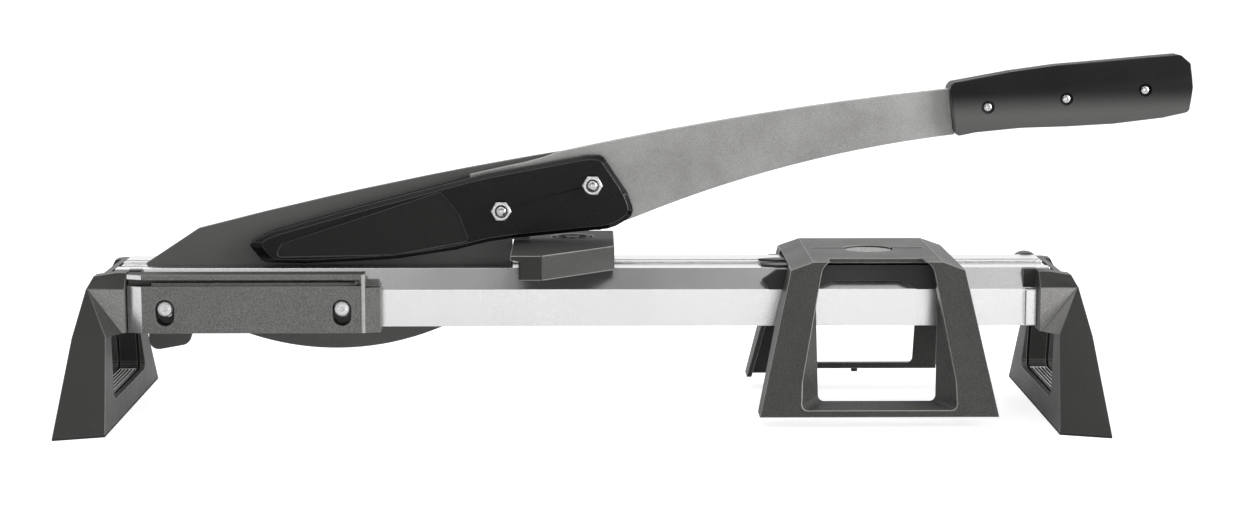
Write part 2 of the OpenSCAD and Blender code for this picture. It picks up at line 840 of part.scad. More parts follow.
module lever_nuts() {
    face = blade_front - front_cover_t;
    color("silver") at_pivot() for (p = bolt_places) difference() {
        translate([p[0], face, p[1]]) rotate([90, 0, 0]) cylinder(d = nut_af / cos(30), h = nut_h, $fn = 6);
        rod(p[0], face - nut_h - overrun, p[1], bolt_r + pivot_fit, nut_h + 2 * overrun);
    }
}

// Grip: two crowned scales meet in the bar's middle plane
module grip_scale(y, depth, crown_y) {
    pts = scaled(grip_shares, grip_x, grip_z, grip_len, grip_drop);
    middle = [grip_x + grip_len / 2, grip_z + grip_drop / 1.92];
    difference() {
        intersection() {
            along_y(y, depth) polygon(rounded(pts, grip_r, 4));
            translate([middle[0], crown_y, middle[1]]) rotate([0, 90 - grip_tilt, 0])
                cylinder(r = grip_crown_r, h = 2 * grip_len, center = true, $fn = 120);
        }
        along_y(bar_front, bar_t) offset(delta = fit_gap) bar_outline();
        for (p = grip_holes()) rod(p[0], y - overrun, p[1], grip_screw_r + fit_gap, depth + 2 * overrun);
    }
}

module grip_front() {
    color("#232323") at_pivot() difference() {
        grip_scale(grip_mid - grip_t / 2, grip_t / 2, grip_mid - grip_t / 2 + grip_crown_r);
        for (p = grip_holes())
            rod(p[0], grip_mid - grip_t / 2 - overrun, p[1], grip_sink_r, grip_sink + overrun);
    }
}

module grip_rear() {
    color("#232323") at_pivot() difference() {
        grip_scale(grip_mid, grip_t / 2, grip_mid + grip_t / 2 - grip_crown_r);
        for (p = grip_holes())
            rod(p[0], grip_mid + grip_t / 2 - grip_sink, p[1], grip_sink_r, grip_sink + overrun);
    }
}

module grip_screws() {
    face = grip_mid - grip_t / 2 + grip_gap;
    seat = grip_mid - grip_t / 2 + grip_sink;
    color("silver") at_pivot() for (p = grip_holes()) difference() {
        union() {
            rod(p[0], seat - sliver, p[1], grip_screw_r, grip_t - 2 * grip_sink + sliver + grip_sink / 2);
            rod(p[0], face, p[1], grip_head_r, seat - face);
        }
        for (turn = [0, 90]) translate([p[0], face, p[1]]) rotate([0, turn, 0])
            cube([grip_head_r, edge_w, grip_head_r / 5], center = true);
    }
}

module grip_nuts() {
    seat = grip_mid + grip_t / 2 - grip_sink;
    color("silver") at_pivot() for (p = grip_holes()) difference() {
        translate([p[0], seat + grip_sink / 1.3, p[1]]) rotate([90, 0, 0])
            cylinder(r = grip_sink_r - fit_gap, h = grip_sink / 1.3, $fn = 6);
        rod(p[0], seat - overrun, p[1], grip_screw_r + pivot_fit, grip_sink + 2 * overrun);
    }
}

// Fence
module fence_block() {
    front = rail_front - fence_out;
    rear = -rail_front + fence_rear;
    left = fence_x - fence_w;
    slant = fence_w - fence_front_w;
    plan = [
        [left, front], [left + fence_front_w, front], [fence_x, front + slant], [fence_x, rear], [left, rear]
    ];
    color("#343433") at_rail() difference() {
        union() {
            translate([0, 0, fence_z]) linear_extrude(fence_h) polygon(rounded(plan, lobe_r / 4, 3));
            translate([left - fence_ledge, front, fence_top - fence_ledge_t])
                cube([fence_ledge + lobe_r, rear - front, fence_ledge_t]);
            translate([left, -rail_front + fit_gap, fence_z - fence_hook])
                cube([fence_w, fence_rear - fit_gap, fence_hook + overrun]);
        }
        translate([knob_x, knob_y, fence_top - knob_sink]) cylinder(d = knob_d + 1.5 * edge_w, h = fence_h);
        translate([knob_x, knob_y, fence_z - overrun]) cylinder(r = clamp_r + fit_gap, h = fence_h);
    }
}

module fence_knob() {
    z = fence_top - knob_sink + fit_gap;
    rise = knob_sink - 2 * fit_gap;
    color("#2a2a2a") at_rail() translate([knob_x, knob_y, z]) difference() {
        union() {
            difference() {
                cylinder(d = knob_d, h = rise);
                translate([0, 0, rise / 3]) cylinder(d = knob_d - 2 * knob_rim, h = rise);
            }
            cylinder(r = knob_hub_r, h = rise);
            for (i = [0:knob_spokes - 1]) rotate([0, 0, i * 360 / knob_spokes])
                translate([knob_hub_r - overrun, -knob_spoke_w / 2, 0])
                    cube([knob_d / 2 - knob_hub_r - knob_rim / 2 + overrun, knob_spoke_w, rise - 2 * fit_gap]);
        }
        translate([0, 0, -overrun]) cylinder(r = clamp_r + pivot_fit, h = rise - overrun / 2);
    }
}

module fence_screw() {
    low = tee_roof - tee_h + 2 * fit_gap;
    color("silver") at_rail() translate([knob_x, knob_y, low])
        cylinder(r = clamp_r, h = fence_top - 2.5 * overrun - low);
}

module fence_slider() {
    color("darkgray") at_rail() difference() {
        translate([knob_x - nut_plate_len / 2, groove_off - tee_w / 2 + 2 * fit_gap, tee_roof - nut_plate_h - fit_gap])
            cube([nut_plate_len, tee_w - 4 * fit_gap, nut_plate_h]);
        translate([knob_x, knob_y, tee_roof - tee_h]) cylinder(r = clamp_r + pivot_fit, h = tee_h + overrun);
    }
}

// Support: a moulded bridge over the rail, open at both sides and through its two windows
support_foot_half = support_d / 2;

function end_profile(inset) = mirrored([
    [-support_w / 2 + inset, support_clear - (inset > 0 ? overrun : 0)],
    [-support_shoulder + inset, support_top - support_chamfer - inset],
    [-support_flat, support_top - inset]
]);

function side_profile(inset) = mirrored([
    [-support_foot_half + inset, support_clear - (inset > 0 ? overrun : 0)],
    [-support_top_half + inset, support_top - inset]
]);

module support_shell(inset) {
    intersection() {
        along_y(-support_foot_half, support_d) polygon(end_profile(inset));
        along_x(-support_w / 2, support_w) polygon(side_profile(inset));
    }
}

// One leg frame is a panel with a flange around its window; the window narrows towards the rail
module window_rods(half, y, z, r, length) {
    for (x = [-1, 1] * (half - r)) rod(x, y, z, r, length, $fn = 32);
}

module support_window(top_z, rise) {
    face = -support_foot_half - overrun;
    back = -support_foot_half + support_leg_d + window_through;
    top_back = -support_top_half + flange_top_d + window_through;
    sill = support_clear + rise;
    hull() {
        window_rods(window_foot_half, face, sill + support_corner_r / 5, support_corner_r, sliver);
        window_rods(window_back_half, back, sill + support_corner_r, support_corner_r, sliver);
        window_rods(window_top_half, face, top_z, window_top_r, top_back - face);
    }
}

// The front window runs out through the top, so that the top's front edge steps back over it
module support_notch(top_z) {
    start = -support_top_half + flange_top_d;
    hull() {
        window_rods(window_top_half, start, top_z, window_top_r, sliver);
        window_rods(window_top_half - notch_narrow, -notch_back - sliver, top_z, window_top_r, sliver);
    }
}

// The rear frame's lower bar is thin and stands higher than the legs
module rear_bar_gap() {
    difference() {
        translate([-rear_gap_half, support_foot_half - support_leg_d - overrun, support_clear - overrun])
            cube([2 * rear_gap_half, support_leg_d + 2 * overrun, support_bar_raise + overrun]);
        translate([-hook_off - hook_w / 2, support_foot_half - support_leg_d / 2,
                   support_clear + support_bar_raise - hook_h])
            cube([hook_w, support_wall, hook_h + overrun]);
    }
}

module support_frame() {
    opening = support_foot_half - support_leg_d;
    throat = -rail_front + rail_play;
    throat_z = rail_top + fit_gap + saddle_t;
    color("#333332") at_rail() translate([support_x, 0, 0]) difference() {
        support_shell(0);
        rear_bar_gap();
        along_x(-support_w, 2 * support_w) polygon(mirrored([
            [-opening, support_clear - overrun], [-throat - support_wall, rail_lift + rail_h / 3],
            [-throat - support_wall, throat_z]
        ]));
        difference() {
            support_shell(support_wall);
            for (side = [0, 1]) mirror([0, side, 0]) window_flange();
        }
        support_window(support_top + window_over - window_top_r, support_sill);
        support_notch(support_top + window_over - window_top_r);
        mirror([0, 1, 0]) support_window(support_top - window_under - window_top_r, rear_sill);
        translate([0, hole_back, throat_z - overrun]) cylinder(d = hole_d, h = support_top);
        translate([-slit_len / 2, slit_back - slit_w / 2, throat_z - overrun])
            cube([slit_len, slit_w, support_top]);
    }
}

// The flange that lines a window: solid stock that the window is cut from
module window_flange() {
    half = window_foot_half + support_wall / 1.2;
    along_x(-half, 2 * half) polygon([
        [-support_foot_half, support_clear], [-support_foot_half + support_leg_d, support_clear],
        [-support_top_half + flange_top_d, support_top - support_wall],
        [-support_top_half, support_top - support_wall]
    ]);
}

module support_saddle() {
    under = rail_top + fit_gap;
    half = support_shoulder - support_wall;
    skirt_low = rail_top - band_h + fit_gap;
    throat = -rail_front + rail_play + support_wall;
    skirt = [
        [-half - tongue_out, (skirt_low + under) / 2], [-half - tongue_out + tongue_tip, skirt_low],
        [-skirt_arch_left - skirt_slope, skirt_low], [-skirt_arch_left, skirt_low + saddle_skirt],
        [skirt_arch, skirt_low + saddle_skirt], [skirt_arch + skirt_slope, skirt_low],
        [half, skirt_low], [half, under], [-half - tongue_out + 2 * tongue_tip, under]
    ];
    color("#2b2b2a") at_rail() translate([support_x, 0, 0]) {
        translate([-half, -throat, under]) cube([2 * half, 2 * throat, saddle_t]);
        translate([0, hole_back, under + saddle_t - sliver])
            cylinder(d = hole_d - 2 * pad_gap, h = support_top - pad_sink - under - saddle_t + sliver);
        for (side = [0, 1]) mirror([0, side, 0])
            along_y(rail_front - fit_gap - support_wall, support_wall) polygon(concat(skirt, []));
        for (y = [-rail_depth / 2.9, rail_depth / 30]) translate([-half - tongue_out, y, under])
            linear_extrude(saddle_t / 1.6) polygon([
                [0, 0], [tongue_out / 2, -tongue_tip], [tongue_out + overrun, -tongue_tip],
                [tongue_out + overrun, tongue_tip], [tongue_out / 2, tongue_tip]
            ]);
    }
}

base_rail();
left_foot();
right_foot();
left_foot_liner();
right_foot_liner();
foot_soles();
foot_screws();
guide_plate();
guide_plate_screws();
guide_plate_nuts();
pivot_bolt();
pivot_nut();
pivot_washers();
pivot_bush();
blade();
lever_bar();
front_cover();
rear_cover();
lever_bolts();
lever_nuts();
grip_front();
grip_rear();
grip_screws();
grip_nuts();
fence_block();
fence_knob();
fence_screw();
fence_slider();
support_frame();
support_saddle();
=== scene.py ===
"""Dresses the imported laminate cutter.

One operator makes each piece or group of like pieces, and one makes the stage.
"""

import math

import bmesh
import bpy
from bpy.props import FloatProperty, FloatVectorProperty, PointerProperty
from bpy.types import Operator, Panel, PropertyGroup
from mathutils import Matrix, Vector


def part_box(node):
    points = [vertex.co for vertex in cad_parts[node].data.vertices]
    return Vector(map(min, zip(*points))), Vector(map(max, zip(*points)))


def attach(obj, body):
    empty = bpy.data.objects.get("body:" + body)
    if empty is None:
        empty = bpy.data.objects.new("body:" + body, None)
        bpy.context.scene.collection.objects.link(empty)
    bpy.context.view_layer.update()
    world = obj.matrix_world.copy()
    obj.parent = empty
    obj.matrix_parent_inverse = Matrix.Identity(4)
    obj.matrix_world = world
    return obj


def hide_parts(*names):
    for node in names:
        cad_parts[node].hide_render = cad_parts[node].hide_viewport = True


bl_info = {
    "name": "Laminate Cutter",
    "version": (1, 0, 0),
    "blender": (4, 5, 0),
    "location": "View3D > Sidebar > Cutter",
    "description": "Dresses a lever-operated laminate cutter piece by piece and sets it in a plain studio",
    "category": "Object",
}

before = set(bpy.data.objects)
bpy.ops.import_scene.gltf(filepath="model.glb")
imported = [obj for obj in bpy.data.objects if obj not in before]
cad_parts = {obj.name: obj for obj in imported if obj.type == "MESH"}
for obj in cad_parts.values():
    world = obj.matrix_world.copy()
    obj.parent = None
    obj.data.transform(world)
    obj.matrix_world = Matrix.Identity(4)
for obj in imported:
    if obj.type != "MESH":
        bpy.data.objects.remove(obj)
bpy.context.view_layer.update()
MM = 0.001
WELD = 2e-6
PARALLEL = 1e-6
FLAT_BEND = math.radians(0.6)
SMOOTH_BEND = math.radians(32)
LEAST_ROUND = 0.25
LEAST_FACE = 2.2
TURNED_SIDES = 40
# The third slot holds the painted highlight that the bevel faces take.
MAIN, SECOND, EDGE_HIGHLIGHT, THIRD = range(4)
RAIL_LO, RAIL_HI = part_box("base_rail")
RAIL_X = (RAIL_LO.x + RAIL_HI.x) / 2


# Sizes and colours a user would change


def length(name, text, value, low, high):
    return FloatProperty(
        name=name, description=text, default=value, min=low, max=high, unit="LENGTH", subtype="DISTANCE"
    )


def colour(name, text, value):
    return FloatVectorProperty(
        name=name, description=text, default=value, min=0.0, max=1.0, size=3, subtype="COLOR"
    )


class CutterSizes(PropertyGroup):
    """Roundings of the edges, size of the grain and size of the floor."""

    fine_round: length("Fine edge", "Rounding of the machined edges", 0.0003, 0.0001, 0.001)
    foot_round: length("Foot edge", "Rounding of the feet's edges", 0.00035, 0.0001, 0.0004)
    mould_round: length("Moulded edge", "Rounding of grip, rear cover and clip", 0.0008, 0.0002, 0.002)
    floor_size: length("Floor", "Side of the square floor", 8.0, 2.0, 20.0)
    grain_size: length("Grain", "Size of one grain of the moulded surface", 0.0009, 0.0002, 0.003)


class CutterColours(PropertyGroup):
    """Base colours of the finishes."""

    plastic: colour("Moulded plastic", "Feet, fence and support", (0.048, 0.0475, 0.0455))
    # Painted light: far lighter than the plastic, so the feet's front panels read as lit.
    etched_and_lit: colour("Etched plastic, painted light", "Front panels of the feet", (0.28, 0.277, 0.269))
    # Base of the painted highlights on the bevel faces of the rounded edges.
    edge: colour("Rounded edges", "Edges of the moulded pieces", (0.24, 0.238, 0.23))
    pad: colour("Pad", "Disc in the support's top", (0.3, 0.298, 0.29))
    # Painted light: near white, so that the windows' sills read as brightly lit.
    lit_ribs: colour("Ribs", "Sills of the feet's windows", (0.8, 0.8, 0.79))
    liner: colour("Dark plastic", "Window linings and saddle", (0.026, 0.026, 0.025))
    cover: colour("Gloss cover", "Covers on the lever", (0.0045, 0.0045, 0.0042))
    blade: colour("Blade", "Coated blade", (0.085, 0.085, 0.082))
    bar: colour("Lever bar", "Blasted steel bar", (0.36, 0.357, 0.35))
    grip: colour("Grip", "Scales of the grip", (0.009, 0.009, 0.0088))
    aluminium: colour("Aluminium", "Anodised rail", (0.86, 0.86, 0.86))
    zinc: colour("Zinc", "Screws, bolts and nuts", (0.6, 0.6, 0.6))
    coat: colour("Wrinkle coat", "Guide plate", (0.16, 0.16, 0.154))
    # Painted highlight: the light colour of the rib at the plate's right end.
    rib_highlight: colour("Rib highlight", "Rib at the guide plate's right end", (0.5, 0.5, 0.49))
    rubber: colour("Rubber", "Soles", (0.02, 0.02, 0.02))
    bronze: colour("Bronze", "Pivot bush", (0.5, 0.36, 0.17))


def sizes():
    return bpy.context.scene.cutter_sizes


def colours():
    return bpy.context.scene.cutter_colours


# Mesh tools


def put(name, bm):
    """A new object that holds the bmesh."""
    mesh = bpy.data.meshes.new(name)
    bm.to_mesh(mesh)
    bm.free()
    obj = bpy.data.objects.new(name, mesh)
    bpy.context.scene.collection.objects.link(obj)
    return obj


def clean(bm):
    """Welds the corners, makes the flat faces whole and turns the normals outwards."""
    bmesh.ops.remove_doubles(bm, verts=bm.verts, dist=WELD)
    bmesh.ops.dissolve_limit(bm, angle_limit=FLAT_BEND, verts=bm.verts, edges=bm.edges)
    bmesh.ops.recalc_face_normals(bm, faces=bm.faces)


def carried(name, *nodes):
    """A piece that starts as the frame's own nodes, welded and with their flat faces made whole."""
    bm = bmesh.new()
    for node in nodes:
        bm.from_mesh(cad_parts[node].data)
    clean(bm)
    return put(name, bm)


def place(along, a, b, t):
    """A point from two outline coordinates and a place along the axis, in millimetres.

    X is counted from the middle of the rail, Y and Z from the frame's origin.
    """
    x, y, z = {"X": (t, a, b), "Y": (a, t, b), "Z": (a, b, t)}[along]
    return Vector((x * MM + RAIL_X, y * MM, z * MM))


def solid(name, outline, along, start, end):
    """An outline extruded along an axis."""
    bm = bmesh.new()
    low = [bm.verts.new(place(along, a, b, start)) for a, b in outline]
    high = [bm.verts.new(place(along, a, b, end)) for a, b in outline]
    count = len(outline)
    bm.faces.new(low)
    bm.faces.new(high[::-1])
    for i in range(count):
        j = (i + 1) % count
        bm.faces.new((low[i], high[i], high[j], low[j]))
    bmesh.ops.recalc_face_normals(bm, faces=bm.faces)
    return put(name, bm)


def loft(name, along, layers):
    """A solid through outlines with the same number of points, each at its place along the axis."""
    bm = bmesh.new()
    rings = [[bm.verts.new(place(along, a, b, t)) for a, b in outline] for t, outline in layers]
    bm.faces.new(rings[0])
    bm.faces.new(rings[-1][::-1])
    for low, high in zip(rings, rings[1:]):
        for i in range(len(low)):
            j = (i + 1) % len(low)
            bm.faces.new((low[i], high[i], high[j], low[j]))
    bmesh.ops.recalc_face_normals(bm, faces=bm.faces)
    return put(name, bm)


def turned(name, a, b, profile):
    """A solid turned about Y: each step of the profile is a radius and a place along the axis."""
    return loft(name, "Y", [(t, ring_points(a, b, radius, TURNED_SIDES)) for radius, t in profile])


def inset(outline, depths):
    """An outline moved inwards, each side by its own depth."""
    area = sum(p[0] * q[1] - q[0] * p[1] for p, q in zip(outline, outline[1:] + outline[:1]))
    sign = 1 if area > 0 else -1
    count = len(outline)
    sides = []
    for i in range(count):
        start, end = Vector(outline[i]), Vector(outline[(i + 1) % count])
        way = (end - start).normalized()
        inward = Vector((-way.y, way.x)) * sign
        sides.append((start + inward * depths[i % len(depths)], way))
    points = []
    for i in range(count):
        (p, u), (q, v) = sides[i - 1], sides[i]
        cross = u.x * v.y - u.y * v.x
        if abs(cross) < PARALLEL:
            points.append(tuple(q))
            continue
        gap = q - p
        points.append(tuple(p + u * ((gap.x * v.y - gap.y * v.x) / cross)))
    return points


def eased(outline, cuts, steps=3, share=0.45):
    """An outline with each corner drawn as a curve, cut back by no more than a share of its shorter side."""
    points = []
    count = len(outline)
    for i, cut in enumerate(cuts):
        corner, before, after = (Vector(outline[(i + k) % count]) for k in (0, -1, 1))
        room = share * min((before - corner).length, (after - corner).length)
        start = corner + (before - corner).normalized() * min(cut, room)
        end = corner + (after - corner).normalized() * min(cut, room)
        for k in range(steps + 1):
            u = k / steps
            points.append(tuple(start * (1 - u) ** 2 + corner * 2 * u * (1 - u) + end * u * u))
    return points


def ring_points(a, b, radius, count):
    """The corners of a regular outline about a centre."""
    step = 2 * math.pi / count
    return [(a + radius * math.cos(i * step), b + radius * math.sin(i * step)) for i in range(count)]


def drum(name, a, b, radius, start, end, count=48):
    """A cylinder or, with few sides, a prism along Y."""
    return solid(name, ring_points(a, b, radius, count), "Y", start, end)


def carve(obj, cutters, operation="DIFFERENCE"):
    """Cuts the cutters out of a piece, or keeps only what it shares with them, and throws them away."""
    for tool in cutters:
        modifier = obj.modifiers.new("carve", "BOOLEAN")
        modifier.operation = operation
        modifier.solver = "EXACT"
        modifier.object = tool
        settle(obj)
        bpy.data.objects.remove(tool)
    bm = bmesh.new()
    bm.from_mesh(obj.data)
    clean(bm)
    bm.to_mesh(obj.data)
    bm.free()
    return obj


def settle(obj):
    """Applies the piece's modifiers."""
    graph = bpy.context.evaluated_depsgraph_get()
    mesh = bpy.data.meshes.new_from_object(obj.evaluated_get(graph))
    obj.modifiers.clear()
    obj.data = mesh


def reach(face, edge):
    """How far a face runs from one of its edges."""
    start = edge.verts[0].co
    along = (edge.verts[1].co - start).normalized()
    ways = [vert.co - start for vert in face.verts]
    return max((way - along * way.dot(along)).length for way in ways)


def soften(obj, width, segments=2, angle=11, most=400):
    """Rounds the edges between faces that are wide enough, and splits faces with more corners than most."""
    bm = bmesh.new()
    bm.from_mesh(obj.data)
    bm.edges.ensure_lookup_table()
    weights = bm.edges.layers.float.new("bevel_weight_edge")
    limit = math.radians(angle)
    for edge in bm.edges:
        if len(edge.link_faces) != 2:
            continue
        bend = edge.calc_face_angle(0.0)
        room = min(reach(face, edge) for face in edge.link_faces)
        if bend > limit and room > LEAST_FACE * width and edge.calc_length() > width:
            edge[weights] = min(1.0, max(LEAST_ROUND, bend))
        edge.smooth = bend < SMOOTH_BEND or edge[weights] > 0
    many = [face for face in bm.faces if len(face.verts) > most]
    split = bmesh.ops.triangulate(bm, faces=many, ngon_method="BEAUTY")
    for edge in split["edges"]:
        edge.smooth = False
    bm.to_mesh(obj.data)
    bm.free()
    bevel = obj.modifiers.new("rounding", "BEVEL")
    # The bevel faces take the third slot, a painted highlight.
    bevel.material = EDGE_HIGHLIGHT
    bevel.width = width
    bevel.segments = segments
    bevel.limit_method = "WEIGHT"
    bevel.use_clamp_overlap = False
    bevel.miter_outer = "MITER_ARC"
    shaded = obj.modifiers.new("shading", "WEIGHTED_NORMAL")
    shaded.weight = 90
    shaded.keep_sharp = True
    return obj


def pick(obj, second, third=None):
    """Gives the faces that pass a test the piece's second or third finish."""
    for face in obj.data.polygons:
        if second(face):
            face.material_index = SECOND
        elif third and third(face):
            face.material_index = THIRD
        else:
            face.material_index = MAIN
    return obj


def dress(obj, body, material, slot, *nodes, second=None, third=None, edge=None):
    """Gives a piece its finishes and its body, and hides the nodes that it stands for."""
    chosen = [face.material_index if second else MAIN for face in obj.data.polygons]
    obj.data.materials.clear()
    for layer in (material, second or material, edge or material, third or material):
        obj.data.materials.append(layer)
    for face, index in zip(obj.data.polygons, chosen):
        face.use_smooth = True
        face.material_index = index
    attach(obj, body)
    if nodes:
        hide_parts(*nodes)
    return obj


def joined(name, parts):
    """One object from several."""
    bm = bmesh.new()
    for part in parts:
        bm.from_mesh(part.data)
        bpy.data.objects.remove(part)
    bmesh.ops.recalc_face_normals(bm, faces=bm.faces)
    return put(name, bm)


# Shared effects


def new_group(name, inputs, outputs):
    """A shader node group with number inputs, given with their values, and number outputs."""
    group = bpy.data.node_groups.new(name, "ShaderNodeTree")
    for label, value in inputs:
        made = group.interface.new_socket(name=label, in_out="INPUT", socket_type="NodeSocketFloat")
        made.default_value = value
    for label in outputs:
        group.interface.new_socket(name=label, in_out="OUTPUT", socket_type="NodeSocketFloat")
    return group, group.nodes.new("NodeGroupInput"), group.nodes.new("NodeGroupOutput")


def add(tree, kind, **values):
    """A new node with its settings."""
    node = tree.nodes.new(kind)
    for key, value in values.items():
        setattr(node, key, value)
    return node


def link(tree, source, target):
    tree.links.new(source, target)


def maths(tree, operation, first, second):
    """The result of a sum on two numbers, each a value or another node's output."""
    node = add(tree, "ShaderNodeMath", operation=operation)
    for slot_in, value in zip(node.inputs, (first, second)):
        if hasattr(value, "is_output"):
            link(tree, value, slot_in)
        else:
            slot_in.default_value = value
    return node.outputs[0]


def grain_group():
    """Fine moulded or blasted grain: a height for the bump and a tone mask."""
    name = "Surface grain"
    if name in bpy.data.node_groups:
        return bpy.data.node_groups[name]
    group, source, target = new_group(
        name,
        [("Grain size", 0.0007), ("Roughness of grain", 0.6)],
        ["Height", "Tone"],
    )
    place_node = add(group, "ShaderNodeTexCoord")
    density = maths(group, "DIVIDE", 1.0, source.outputs["Grain size"])
    noise = add(group, "ShaderNodeTexNoise")
    noise.inputs["Detail"].default_value = 3.0
    link(group, place_node.outputs["Object"], noise.inputs["Vector"])
    link(group, density, noise.inputs["Scale"])
    link(group, source.outputs["Roughness of grain"], noise.inputs["Roughness"])
    cells = add(group, "ShaderNodeTexVoronoi", feature="SMOOTH_F1")
    cells.inputs["Smoothness"].default_value = 0.6
    link(group, place_node.outputs["Object"], cells.inputs["Vector"])
    link(group, maths(group, "MULTIPLY", density, 0.9), cells.inputs["Scale"])
    pits = maths(group, "MULTIPLY", cells.outputs["Distance"], 0.5)
    link(group, maths(group, "ADD", noise.outputs["Fac"], pits), target.inputs["Height"])
    spread = add(group, "ShaderNodeMapRange")
    spread.inputs["From Min"].default_value = 0.34
    spread.inputs["From Max"].default_value = 0.66
    link(group, noise.outputs["Fac"], spread.inputs["Value"])
    link(group, spread.outputs["Result"], target.inputs["Tone"])
    return group


def edge_group():
    """A mask that is one on the convex and concave edges within a radius."""
    name = "Edge wear"
    if name in bpy.data.node_groups:
        return bpy.data.node_groups[name]
    group, source, target = new_group(
        name,
        [("Width", 0.0008), ("Sharpness", 6.0), ("Breakup", 0.35)],
        ["Mask"],
    )
    rounded = add(group, "ShaderNodeBevel", samples=4)
    link(group, source.outputs["Width"], rounded.inputs["Radius"])
    geometry = add(group, "ShaderNodeNewGeometry")
    dot = add(group, "ShaderNodeVectorMath", operation="DOT_PRODUCT")
    link(group, rounded.outputs["Normal"], dot.inputs[0])
    link(group, geometry.outputs["Normal"], dot.inputs[1])
    bend = maths(group, "SUBTRACT", 1.0, dot.outputs["Value"])
    noise = add(group, "ShaderNodeTexNoise")
    noise.inputs["Scale"].default_value = 260.0
    gaps = maths(group, "MULTIPLY", noise.outputs["Fac"], source.outputs["Breakup"])
    spots = maths(group, "SUBTRACT", 1.0, gaps)
    mask = maths(group, "MULTIPLY", maths(group, "MULTIPLY", bend, source.outputs["Sharpness"]), spots)
    low = add(group, "ShaderNodeClamp")
    link(group, mask, low.inputs["Value"])
    link(group, low.outputs[0], target.inputs["Mask"])
    return group


def handling_group():
    """Slow unevenness of tone and gloss, from handling and moulding."""
    name = "Handling"
    if name in bpy.data.node_groups:
        return bpy.data.node_groups[name]
    group, source, target = new_group(
        name,
        [("Patch size", 0.03)],
        ["Mask"],
    )
    place_node = add(group, "ShaderNodeTexCoord")
    noise = add(group, "ShaderNodeTexNoise")
    noise.inputs["Detail"].default_value = 4.0
    noise.inputs["Roughness"].default_value = 0.55
    link(group, place_node.outputs["Object"], noise.inputs["Vector"])
    link(group, maths(group, "DIVIDE", 1.0, source.outputs["Patch size"]), noise.inputs["Scale"])
    spread = add(group, "ShaderNodeMapRange")
    spread.inputs["From Min"].default_value = 0.3
    spread.inputs["From Max"].default_value = 0.7
    link(group, noise.outputs["Fac"], spread.inputs["Value"])
    link(group, spread.outputs["Result"], target.inputs["Mask"])
    return group


def painted_reflection_group():
    """A mask that is one on the grip's lower half, which is lightened as a painted reflection of the bright
    floor.
    """
    name = "Palm"
    if name in bpy.data.node_groups:
        return bpy.data.node_groups[name]
    group, source, target = new_group(
        name,
        [("Slope", 0.028), ("Low", 0.1745), ("High", 0.1905)],
        ["Mask"],
    )
    split = add(group, "ShaderNodeSeparateXYZ")
    link(group, add(group, "ShaderNodeTexCoord").outputs["Object"], split.inputs[0])
    rise = maths(group, "MULTIPLY", split.outputs["X"], source.outputs["Slope"])
    level = maths(group, "SUBTRACT", split.outputs["Z"], rise)
    ramp = add(group, "ShaderNodeMapRange", interpolation_type="SMOOTHSTEP")
    link(group, level, ramp.inputs["Value"])
    link(group, source.outputs["Low"], ramp.inputs["From Min"])
    link(group, source.outputs["High"], ramp.inputs["From Max"])
    ramp.inputs["To Min"].default_value = 1.0
    ramp.inputs["To Max"].default_value = 0.0
    link(group, ramp.outputs["Result"], target.inputs["Mask"])
    return group


def draw_group():
    """Long faint lines along the rail, as an extrusion die leaves."""
    name = "Drawn lines"
    if name in bpy.data.node_groups:
        return bpy.data.node_groups[name]
    group, source, target = new_group(
        name,
        [("Line size", 0.0006), ("Stretch", 60.0)],
        ["Height"],
    )
    place_node = add(group, "ShaderNodeTexCoord")
    split = add(group, "ShaderNodeSeparateXYZ")
    link(group, place_node.outputs["Object"], split.inputs[0])
    merge = add(group, "ShaderNodeCombineXYZ")
    link(group, maths(group, "DIVIDE", split.outputs["X"], source.outputs["Stretch"]), merge.inputs["X"])
    link(group, split.outputs["Y"], merge.inputs["Y"])
    link(group, split.outputs["Z"], merge.inputs["Z"])
    noise = add(group, "ShaderNodeTexNoise")
    noise.inputs["Detail"].default_value = 2.0
    link(group, merge.outputs[0], noise.inputs["Vector"])
    link(group, maths(group, "DIVIDE", 1.0, source.outputs["Line size"]), noise.inputs["Scale"])
    link(group, noise.outputs["Fac"], target.inputs["Height"])
    return group


def use(tree, group, **values):
    """A shared effect in a material, with its inputs by name."""
    node = add(tree, "ShaderNodeGroup", node_tree=group)
    for key, value in values.items():
        node.inputs[key.replace("_", " ")].default_value = value
    return node


def toned(base, factor):
    """A colour made darker or lighter."""
    return tuple(min(1.0, c * factor) for c in base)


def shade(base, factor):
    """The same, as a node's colour."""
    return toned(base, factor) + (1.0,)


def mixed(tree, mask, first, second):
    """A colour between two, by a mask."""
    node = add(tree, "ShaderNodeMix", data_type="RGBA")
    link(tree, mask, node.inputs["Factor"])
    for slot_in, value in ((node.inputs[6], first), (node.inputs[7], second)):
        if hasattr(value, "is_output"):
            link(tree, value, slot_in)
        else:
            slot_in.default_value = value
    return node.outputs[2]


def ranged(tree, mask, low, high):
    """A number between two, by a mask."""
    node = add(tree, "ShaderNodeMapRange")
    node.inputs["To Min"].default_value = low
    node.inputs["To Max"].default_value = high
    link(tree, mask, node.inputs["Value"])
    return node.outputs["Result"]


def star(a, b, radius, tips=6, waist=0.55):
    """The outline of a star recess."""
    step = math.pi / tips
    spread = [radius * (1 if i % 2 else waist) for i in range(2 * tips)]
    return [(a + r * math.cos(i * step), b + r * math.sin(i * step)) for i, r in enumerate(spread)]


GLOSS_SPREAD = 0.05


